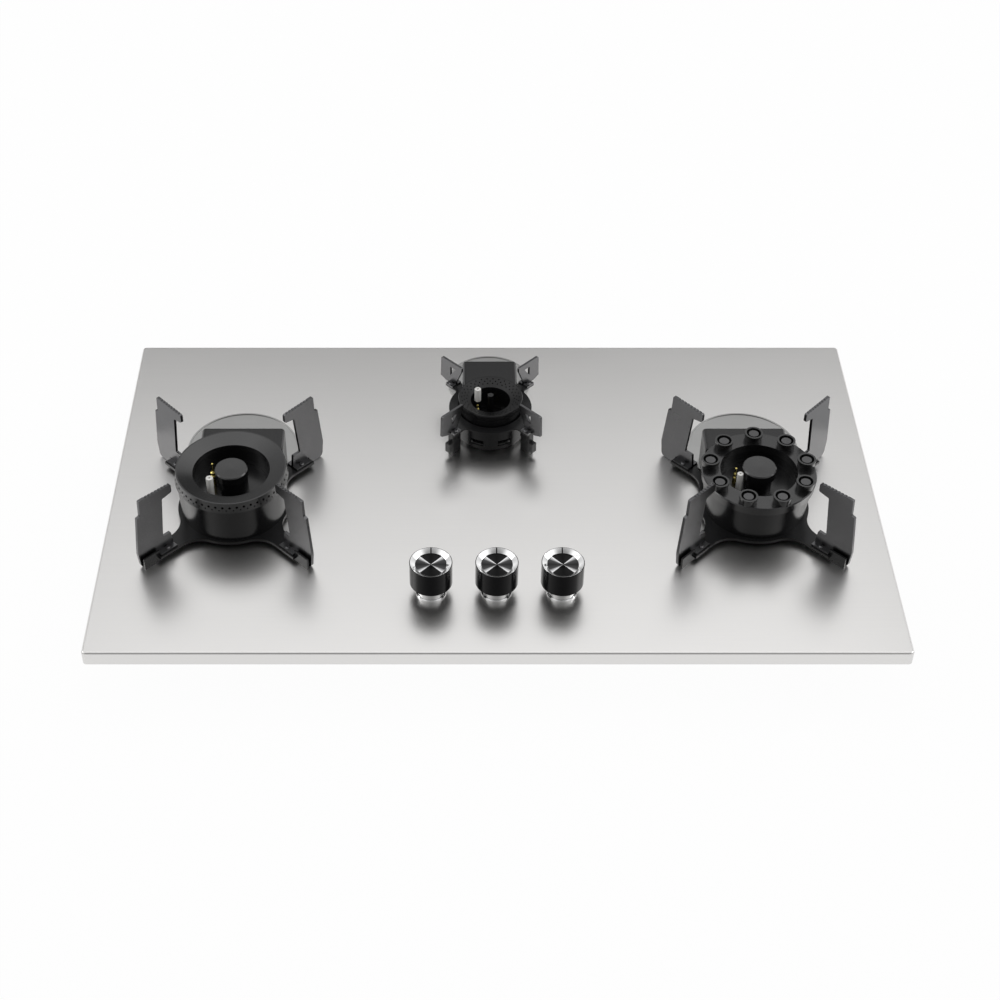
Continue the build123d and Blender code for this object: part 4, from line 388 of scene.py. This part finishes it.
def blackened_sheet(place, base):
    """Blackened steel sheet with a soft sheen, faint rolling marks and rubbed specks."""
    grain = noise(place, 1100, 3, 0.6)
    cloud = noise(place, 30, 3)
    rubbed = ramp(grain * 0.5 + cloud * 0.5, (0.45, 0.0), (0.7, 1.0))
    return {
        "Base Color": toned(rubbed, scaled_colour(base, 0.92), scaled_colour(base, 1.18)),
        "Metallic": 1.0,
        "Roughness": cloud * 0.12 + 0.24,
        "Normal": relief(grain, 0.00003, 0.35),
    }


def glazed_ceramic(place, base):
    """White glaze with a faint warm cloud."""
    cloud = noise(place, 160, 2)
    return {
        "Base Color": toned(cloud, base, scaled_colour(base, 0.93)),
        "Roughness": cloud * 0.1 + 0.16,
        "Coat Weight": 0.4,
        "Normal": relief(cloud, 0.00004, 0.4),
    }


def turned_brass(place, base):
    """Brass with fine turning marks round each fitting."""
    marks = noise(stretched(place, 120, 120, 3200), 1, 2)
    stain = noise(place, 90, 3)
    return {
        "Base Color": toned(stain, base, scaled_colour(base, 0.72)),
        "Metallic": 1.0,
        "Roughness": marks * 0.14 + 0.2,
        "Normal": relief(marks, 0.00001),
    }


def cast_alloy(place, base):
    """Cast and drawn alloy, a little grainy."""
    grain = noise(place, 600, 3)
    return {
        "Base Color": toned(grain, scaled_colour(base, 0.86), scaled_colour(base, 1.08)),
        "Metallic": 0.95,
        "Roughness": grain * 0.16 + 0.34,
        "Normal": relief(grain, 0.00005, 0.4),
    }


def gloss_black(place, base):
    """High-gloss black with the faintest haze."""
    haze = noise(place, 120, 3)
    return {
        "Base Color": toned(haze, base, scaled_colour(base, 1.8)),
        "Roughness": haze * 0.04 + 0.07,
        "Specular IOR Level": 0.16,
    }


def spun_metal_painted_rays(place, base):
    """Sun-burst turned metal: fine circles round each knob's axis, with four painted highlight
    rays in its colour.
    """
    sizes = bpy.context.scene.hob_sizes
    half = sizes.knob_pitch / 2
    width = place.part("X")
    along = place.node("ShaderNodeMath", {0: width, 1: half, 2: -half}, operation="WRAP")
    across = place.part("Y") - sizes.knob_line
    outward = along.maths("SQRT", along * along + across * across, 0.0)
    steep = along.maths("ARCTAN2", across.size_only(), along.size_only()) * (2 / math.pi)
    # Painted highlight: four bright rays by the angle round the axis, standing in for reflected
    # lamp light.
    painted_rays = ramp(steep, *DISC_PAINTED_RAYS)
    circles = noise(stretched(outward.joined(), 9000, 0, 0), 1, 1)
    return {
        "Base Color": toned(painted_rays, (0, 0, 0), base),
        "Metallic": 1.0,
        "Roughness": circles * 0.12 + 0.26,
        "Normal": relief(circles, 0.000006, 0.5),
    }


def polished_trim(place, base):
    """Bright polished metal with the faintest wipe marks."""
    wipe = noise(place, 240, 3)
    return {
        "Base Color": toned(wipe, scaled_colour(base, 0.96), base),
        "Metallic": 1.0,
        "Roughness": wipe * 0.06 + 0.07,
    }


def matt_plastic(place, base):
    """Moulded plastic with a fine spark-eroded grain."""
    grain = noise(place, 1800, 3)
    return {
        "Base Color": toned(grain, scaled_colour(base, 0.85), scaled_colour(base, 1.25)),
        "Roughness": grain * 0.15 + 0.5,
        "Normal": relief(grain, 0.00008, 0.5),
    }


# Each record slot with its colour and recipe, and the own finishes of the blades and one cap.
FINISHES = {
    "steel_top": ("top", brushed_top),
    "galvanised": ("zinc", zinc_sheet),
    "screw_steel": ("screw", plated_screw),
    "seal_foam": ("foam", foam_strip),
    "disc_steel": ("disc", rolled_disc),
    "burner_enamel": ("burner", fired_enamel),
    "ring_black": ("ring", satin_enamel),
    "port_grey": ("plug", satin_enamel),
    "support_enamel": ("support", dark_enamel),
    "blade_sheet": ("blade", blackened_sheet),
    "cap_enamel": ("ring", dark_enamel),
    "ceramic": ("ceramic", glazed_ceramic),
    "brass": ("brass", turned_brass),
    "valve_alloy": ("alloy", cast_alloy),
    "knob_black": ("knob", gloss_black),
    "knob_metal": ("spun", spun_metal_painted_rays),
    "bezel_chrome": ("bright", polished_trim),
    "box_plastic": ("plastic", matt_plastic),
    "cell_wrap": ("wrap", matt_plastic),
}


def finish(slot):
    """The material of one entry of FINISHES, made the first time that it is asked for."""
    name = "hob_" + slot
    if name in bpy.data.materials:
        return bpy.data.materials[name]
    hue, recipe = FINISHES[slot]
    base = tuple(getattr(bpy.context.scene.hob_colours, hue))
    material = bpy.data.materials.new(name)
    material.use_nodes = True
    material.node_tree.nodes.clear()
    start = Shade(material.node_tree)
    place = start.node("ShaderNodeTexCoord", output="Object")
    shader = start.node("ShaderNodeBsdfPrincipled", recipe(place, base))
    start.node("ShaderNodeOutputMaterial", {"Surface": shader})
    return material


def dress(*names):
    """Gives CAD nodes the finish of their own slot."""
    slots = {row["node"]: row["material_slot"] for row in frame["record"]["subparts"]}
    for name in names:
        node = frame["nodes"][name]
        node.data.materials.clear()
        node.data.materials.append(finish(slots[name]))


def named(start):
    """Every CAD node whose name starts so."""
    return [name for name in frame["nodes"] if name.startswith(start)]


def opened():
    """Starts editing the active piece with all of it selected."""
    bpy.ops.object.mode_set(mode="EDIT")
    bpy.ops.mesh.select_mode(type="VERT")
    bpy.ops.mesh.select_all(action="SELECT")


def closed():
    """Merges corners that are the same, turns the faces outwards and ends editing."""
    bpy.ops.mesh.select_all(action="SELECT")
    bpy.ops.mesh.remove_doubles(threshold=SAME_CORNER)
    bpy.ops.mesh.normals_make_consistent(inside=False)
    bpy.ops.object.mode_set(mode="OBJECT")


def eased(piece, width):
    """Breaks the piece's sharp edges."""
    bevel = piece.modifiers.new("eased", "BEVEL")
    bevel.width = width
    bevel.segments = 2
    bevel.limit_method = "ANGLE"
    bevel.angle_limit = math.radians(30)
    bpy.ops.object.modifier_apply(modifier=bevel.name)


def smoothed(degrees):
    """Shades the active piece smooth where its faces meet at less than the angle."""
    bpy.ops.object.shade_smooth_by_angle(angle=math.radians(degrees))


def turned(name, centre, profile, turns, fill="NGON"):
    """A turned piece: a circle drawn out through the radii and heights of its profile."""
    bpy.ops.object.select_all(action="DESELECT")
    radius, height = profile[0]
    bpy.ops.mesh.primitive_circle_add(
        vertices=turns, radius=radius, fill_type=fill, location=(*centre, height)
    )
    bpy.context.object.name = name
    bpy.ops.object.transform_apply(location=True)
    opened()
    for (radius, height), (wider, higher) in zip(profile, profile[1:]):
        rise = {"value": (0, 0, higher - height)}
        bpy.ops.mesh.extrude_region_move(TRANSFORM_OT_translate=rise)
        share = wider / radius
        bpy.ops.transform.resize(value=(share, share, 1), center_override=(*centre, higher))
    closed()
    return bpy.context.object


def joins(piece, body, slot, *nodes):
    """Gives a piece its finish, its body and the CAD nodes that it stands for."""
    piece.data.materials.clear()
    piece.data.materials.append(finish(slot))
    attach(piece, body)
    if nodes:
        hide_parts(*nodes)
    return piece


def copied(piece, name, move):
    """A copy with its own mesh, moved in its mesh."""
    bpy.ops.object.select_all(action="DESELECT")
    copy = piece.copy()
    copy.data = piece.data.copy()
    copy.name = name
    bpy.context.collection.objects.link(copy)
    copy.select_set(True)
    bpy.context.view_layer.objects.active = copy
    copy.location = move
    bpy.ops.object.transform_apply(location=True)
    return copy


class HOB_OT_top(bpy.types.Operator):
    """Finish the top panel, its seal and the knobs' bezels"""

    bl_idname = "hob.top"
    bl_label = "Top panel"

    def execute(self, context):
        dress("top_panel", "seal_strip", *named("knob_bezel"))
        return {"FINISHED"}


class HOB_OT_casing(bpy.types.Operator):
    """Finish the casing and all that it holds"""

    bl_idname = "hob.casing"
    bl_label = "Casing and gas train"

    def execute(self, context):
        dress("casing_pan", "casing_screws", "clamp_brackets", "spark_unit")
        dress(*named("valve_"), *named("gas_"), *named("battery_"), *named("injector"))
        return {"FINISHED"}


def upright(node):
    """Where an upright round CAD node stands, its radius, its foot and its top."""
    low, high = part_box(node)
    centre = ((low.x + high.x) / 2, (low.y + high.y) / 2)
    return centre, (high.x - low.x) / 2, low.z, high.z


def ceramic_tube(node):
    """An electrode's glazed tube, with a rounded flat end and the wire's hole in it."""
    centre, radius, foot, top = upright(node)
    edge, hole = radius * CERAMIC_EDGE, radius * CERAMIC_HOLE
    profile = [(radius, foot), (radius, top - 2 * edge), (radius - edge / 2, top - edge / 2)]
    profile += [(radius - 2 * edge, top), (hole, top), (hole, top - radius)]
    tube = turned(node.replace("electrode", "ceramic_tube"), centre, profile, TUBE_TURNS)
    smoothed(SMOOTH_TUBE)
    return tube


def electrode_collar(node, sizes):
    """The dark collar round the lower part of an electrode's ceramic."""
    centre, radius, foot, top = upright(node)
    radius += sizes.collar_wall
    top -= sizes.ceramic_length
    profile = [(radius, foot + COLLAR_SHOULDER), (radius, top - COLLAR_SHOULDER)]
    profile += [(radius * COLLAR_TOP, top)]
    collar = turned("electrode_collar", centre, profile, TUBE_TURNS)
    smoothed(SMOOTH_SCREW)
    return collar


class HOB_OT_burners(bpy.types.Operator):
    """Finish the three burners with their rings, caps, electrodes and discs"""

    bl_idname = "hob.burners"
    bl_label = "Burners"

    def execute(self, context):
        dress(*named("burner_body"), *named("flame_"), *named("centre_cap"))
        dress(*named("port_plugs"), *named("thermocouple"), *named("duct_disc"))
        frame["nodes"]["flame_cap_middle"].data.materials[0] = finish("cap_enamel")
        for side in SIDES:
            node = "electrode_" + side
            joins(ceramic_tube(node), "hob", "ceramic", node)
        collar = electrode_collar("electrode_middle", context.scene.hob_sizes)
        joins(collar, "hob", "burner_enamel")
        return {"FINISHED"}


def loose_boxes(name):
    """The lowest and highest corner of each separate solid of a CAD node."""
    bpy.ops.object.select_all(action="DESELECT")
    copy = frame["nodes"][name].copy()
    copy.data = copy.data.copy()
    copy.parent = None
    bpy.context.collection.objects.link(copy)
    copy.select_set(True)
    bpy.context.view_layer.objects.active = copy
    opened()
    bpy.ops.mesh.remove_doubles(threshold=SAME_CAD_CORNER)
    bpy.ops.mesh.separate(type="LOOSE")
    bpy.ops.object.mode_set(mode="OBJECT")
    boxes = []
    for part in list(bpy.context.selected_objects):
        rows = list(zip(*(corner.co for corner in part.data.vertices)))
        boxes.append([[pick(row) for row in rows] for pick in (min, max)])
        bpy.data.objects.remove(part)
    return boxes


def cross_screw(sizes, length, head_height, shank):
    """A screw with a domed head and a cross recess. The shank's foot is at the origin."""
    radius = sizes.screw_radius
    seat = length - head_height
    profile = [(shank, 0), (shank, seat)]
    profile += [(radius * wide, seat + head_height * high) for wide, high in HEAD_OUTLINE]
    screw = turned("cross_screw", (0, 0), profile, SCREW_TURNS)
    for turn in (RECESS_TURN, RECESS_TURN + math.pi / 2):
        bpy.ops.object.select_all(action="DESELECT")
        bpy.ops.mesh.primitive_cube_add(size=1, location=(0, 0, length), rotation=(0, 0, turn))
        slot = bpy.context.object
        slot.scale = (sizes.recess_length, sizes.recess_width, head_height * RECESS_BAR)
        bpy.ops.object.transform_apply(location=True, rotation=True, scale=True)
        bpy.context.view_layer.objects.active = screw
        cut = screw.modifiers.new("recess", "BOOLEAN")
        cut.object = slot
        cut.operation = "DIFFERENCE"
        bpy.ops.object.modifier_apply(modifier=cut.name)
        bpy.data.objects.remove(slot)
    smoothed(SMOOTH_SCREW)
    return screw


class HOB_OT_supports(bpy.types.Operator):
    """Finish the pan supports with their blades, and put a cross-recess screw in each place"""

    bl_idname = "hob.supports"
    bl_label = "Pan supports"

    def execute(self, context):
        sizes = context.scene.hob_sizes
        dress(*[name for name in named("support_") if "screws" not in name])
        for name in named("support_blades"):
            frame["nodes"][name].data.materials[0] = finish("blade_sheet")
        for side in SIDES:
            node = "support_screws_" + side
            boxes = loose_boxes(node)
            low, high = boxes[0]
            height = high[2] - low[2]
            shank = sizes.screw_radius * SHANK_SHARE
            first = cross_screw(sizes, height, height * HEAD_SHARE, shank)
            for number, (low, high) in enumerate(boxes, 1):
                place = ((low[0] + high[0]) / 2, (low[1] + high[1]) / 2, low[2])
                piece = copied(first, f"support_screw_{side}_{number}", place)
                joins(piece, "hob", "screw_steel", node)
            bpy.data.objects.remove(first)
        return {"FINISHED"}


def bright_ring(centre, sizes):
    """The polished ring that slopes from the knob's rim down to its disc."""
    outer, inner = sizes.rim_radius, sizes.disc_radius
    top, low = sizes.knob_top, sizes.knob_top - sizes.disc_drop
    lip = RING_LIP
    profile = [(inner, low - 4 * lip), (outer, low - 4 * lip), (outer, top - lip)]
    profile += [(outer - lip, top), (inner + lip, low + lip / 2), (inner, low - lip / 2)]
    profile += [(inner, low - 4 * lip)]
    ring = turned("knob_ring", centre, profile, KNOB_TURNS, fill="NOTHING")
    smoothed(SMOOTH_KNOB)
    return ring


def spun_disc(centre, sizes):
    """The disc in the ring: a narrow raised edge, then a shallow dish to a small centre mark."""
    radius, low = sizes.disc_radius, sizes.knob_top - sizes.disc_drop
    step = DISC_STEP
    profile = [(radius, low - 6 * step), (radius, low - step), (radius - step, low - step / 2)]
    profile += [(radius - 3 * step, low - step / 2), (radius - 4 * step, low - 2 * step)]
    profile += [(radius / 2, low - 2.4 * step), (3 * step, low - 2.6 * step)]
    profile += [(2 * step, low - 3.2 * step), (step / 2, low - 3.4 * step)]
    disc = turned("knob_disc", centre, profile, KNOB_TURNS)
    smoothed(SMOOTH_KNOB)
    return disc


def pointer(centre, sizes):
    """The dark line across the ring at the knob's back."""
    run = sizes.rim_radius - sizes.disc_radius
    slope = math.atan2(sizes.disc_drop, run)
    middle = (sizes.rim_radius + sizes.disc_radius) / 2
    place = (centre[0], centre[1] + middle, sizes.knob_top - sizes.disc_drop / 2)
    bpy.ops.object.select_all(action="DESELECT")
    bpy.ops.mesh.primitive_cube_add(size=1, location=place, rotation=(slope, 0, 0))
    bar = bpy.context.object
    bar.name = "knob_pointer"
    bar.scale = (sizes.pointer_width, math.hypot(run, sizes.disc_drop), POINTER_THICKNESS)
    bpy.ops.object.transform_apply(location=True, rotation=True, scale=True)
    eased(bar, POINTER_EASE)
    smoothed(SMOOTH_KNOB)
    return bar


class HOB_OT_knobs(bpy.types.Operator):
    """Finish the knobs' bodies and make their rings, spun discs and pointers"""

    bl_idname = "hob.knobs"
    bl_label = "Knobs"

    def execute(self, context):
        sizes = context.scene.hob_sizes
        middle = (0.0, sizes.knob_line)
        made = [bright_ring(middle, sizes), spun_disc(middle, sizes), pointer(middle, sizes)]
        slots = ("bezel_chrome", "knob_metal", "knob_black")
        for side, place in zip(SIDES, (-sizes.knob_pitch, 0.0, sizes.knob_pitch)):
            dress("knob_" + side)
            for first, slot in zip(made, slots):
                name = first.name.split(".")[0] + "_" + side
                piece = copied(first, name, (place, 0, 0))
                joins(piece, "knob_" + side, slot, "knob_face_" + side)
        for first in made:
            bpy.data.objects.remove(first)
        return {"FINISHED"}


def studio_floor(context):
    """A wide pale floor, which shows white to the camera but keeps a faint shadow."""
    bpy.ops.object.select_all(action="DESELECT")
    bpy.ops.mesh.primitive_plane_add(size=1, location=(0, 0, -FLOOR_DROP))
    bpy.ops.transform.resize(value=(FLOOR_WIDTH, FLOOR_WIDTH, 1))
    bpy.ops.object.transform_apply(location=True, scale=True)
    floor = context.object
    floor.name = "studio_floor"
    pale = tuple(context.scene.hob_colours.floor)
    material = bpy.data.materials.new("studio_pale")
    material.use_nodes = True
    material.node_tree.nodes.clear()
    start = Shade(material.node_tree)
    seen = start.node("ShaderNodeLightPath", output="Is Camera Ray")
    mirrored = start.node("ShaderNodeLightPath", output="Is Glossy Ray")
    place = start.node("ShaderNodeTexCoord", output="Object")
    tone = toned(noise(place, 3, 4), pale, scaled_colour(pale, 0.985))
    matt = start.node("ShaderNodeBsdfDiffuse", {"Color": tone})
    white = start.node("ShaderNodeEmission", {"Strength": 1.0})
    share = (seen + mirrored) * SEEN_WHITE
    mixed = start.node("ShaderNodeMixShader", {0: share, 1: matt, 2: white})
    start.node("ShaderNodeOutputMaterial", {"Surface": mixed})
    floor.data.materials.append(material)


def studio_sky(context):
    """White to the camera, even light for the object, and a studio that shiny pieces mirror."""
    world = bpy.data.worlds.new("studio_sky")
    context.scene.world = world
    world.use_nodes = True
    world.node_tree.nodes.clear()
    start = Shade(world.node_tree)
    seen = start.node("ShaderNodeLightPath", output="Is Camera Ray")
    mirrored = start.node("ShaderNodeLightPath", output="Is Glossy Ray")
    direction = start.node("ShaderNodeTexCoord", output="Generated")
    right = direction.part("X")
    behind = ramp(direction.part("Z"), *LIGHT_BEHIND)
    rightward = ramp(right, *LIGHT_RIGHTWARD)
    beside = ramp(right.size_only(), *LIGHT_BESIDE)
    facing = ramp(direction.part("Y") * 0.5 + 0.5, *LIGHT_FACING)
    sides = beside * (facing * (1 - BESIDE_IN_FRONT) + BESIDE_IN_FRONT)
    level = sides + (behind + rightward) * facing + (1 - facing) * LIGHT_IN_FRONT
    plain = start.node("ShaderNodeBackground", {"Strength": EVEN_LEVEL})
    studio = start.node("ShaderNodeBackground", {"Color": level, "Strength": 1.0})
    white = start.node("ShaderNodeBackground", {"Color": (1, 1, 1, 1), "Strength": 1.0})
    lit = start.node("ShaderNodeMixShader", {0: mirrored, 1: plain, 2: studio})
    mixed = start.node("ShaderNodeMixShader", {0: seen, 1: lit, 2: white})
    start.node("ShaderNodeOutputWorld", {"Surface": mixed})


def studio_lamp(name, place, aim, size, power):
    """One soft square lamp that looks at a point."""
    bpy.ops.object.select_all(action="DESELECT")
    turn = (Vector(aim) - Vector(place)).to_track_quat("-Z", "Y").to_euler()
    bpy.ops.object.light_add(type="AREA", location=place, rotation=turn)
    lamp = bpy.context.object
    lamp.name = name
    lamp.data.size = size
    lamp.data.energy = power


class HOB_OT_stage(bpy.types.Operator):
    """Set up the floor, the soft light and the camera"""

    bl_idname = "hob.stage"
    bl_label = "Studio"

    def execute(self, context):
        sizes = context.scene.hob_sizes
        studio_floor(context)
        studio_sky(context)
        for lamp in LAMPS:
            studio_lamp(*lamp)
        place = (sizes.camera_x, sizes.camera_y, sizes.camera_z)
        turn = (math.pi / 2 - sizes.camera_dip, 0, 0)
        bpy.ops.object.camera_add(location=place, rotation=turn)
        camera = context.object
        camera.data.lens = sizes.camera_lens
        camera.data.shift_x = sizes.camera_shift
        context.scene.camera = camera
        context.scene.view_settings.view_transform = "Standard"
        return {"FINISHED"}


OPERATORS = (
    HOB_OT_top,
    HOB_OT_casing,
    HOB_OT_burners,
    HOB_OT_supports,
    HOB_OT_knobs,
    HOB_OT_stage,
)


class HOB_PT_panel(bpy.types.Panel):
    """Buttons for the hob's pieces, with their colours and sizes"""

    bl_label = "Gas hob"
    bl_idname = "HOB_PT_panel"
    bl_space_type = "VIEW_3D"
    bl_region_type = "UI"
    bl_category = "Hob"

    def draw(self, context):
        for operator in OPERATORS:
            self.layout.operator(operator.bl_idname)
        for group in (context.scene.hob_colours, context.scene.hob_sizes):
            for name in group.bl_rna.properties.keys():
                if name not in ("name", "rna_type"):
                    self.layout.prop(group, name)


CLASSES = (HobColours, HobSizes, *OPERATORS, HOB_PT_panel)


def register():
    for cls in CLASSES:
        bpy.utils.register_class(cls)
    bpy.types.Scene.hob_colours = PointerProperty(type=HobColours)
    bpy.types.Scene.hob_sizes = PointerProperty(type=HobSizes)


def unregister():
    del bpy.types.Scene.hob_sizes
    del bpy.types.Scene.hob_colours
    for cls in reversed(CLASSES):
        bpy.utils.unregister_class(cls)


def main():
    register()
    for operator in OPERATORS:
        group, action = operator.bl_idname.split(".")
        getattr(getattr(bpy.ops, group), action)()


if __name__ == "__main__":
    main()
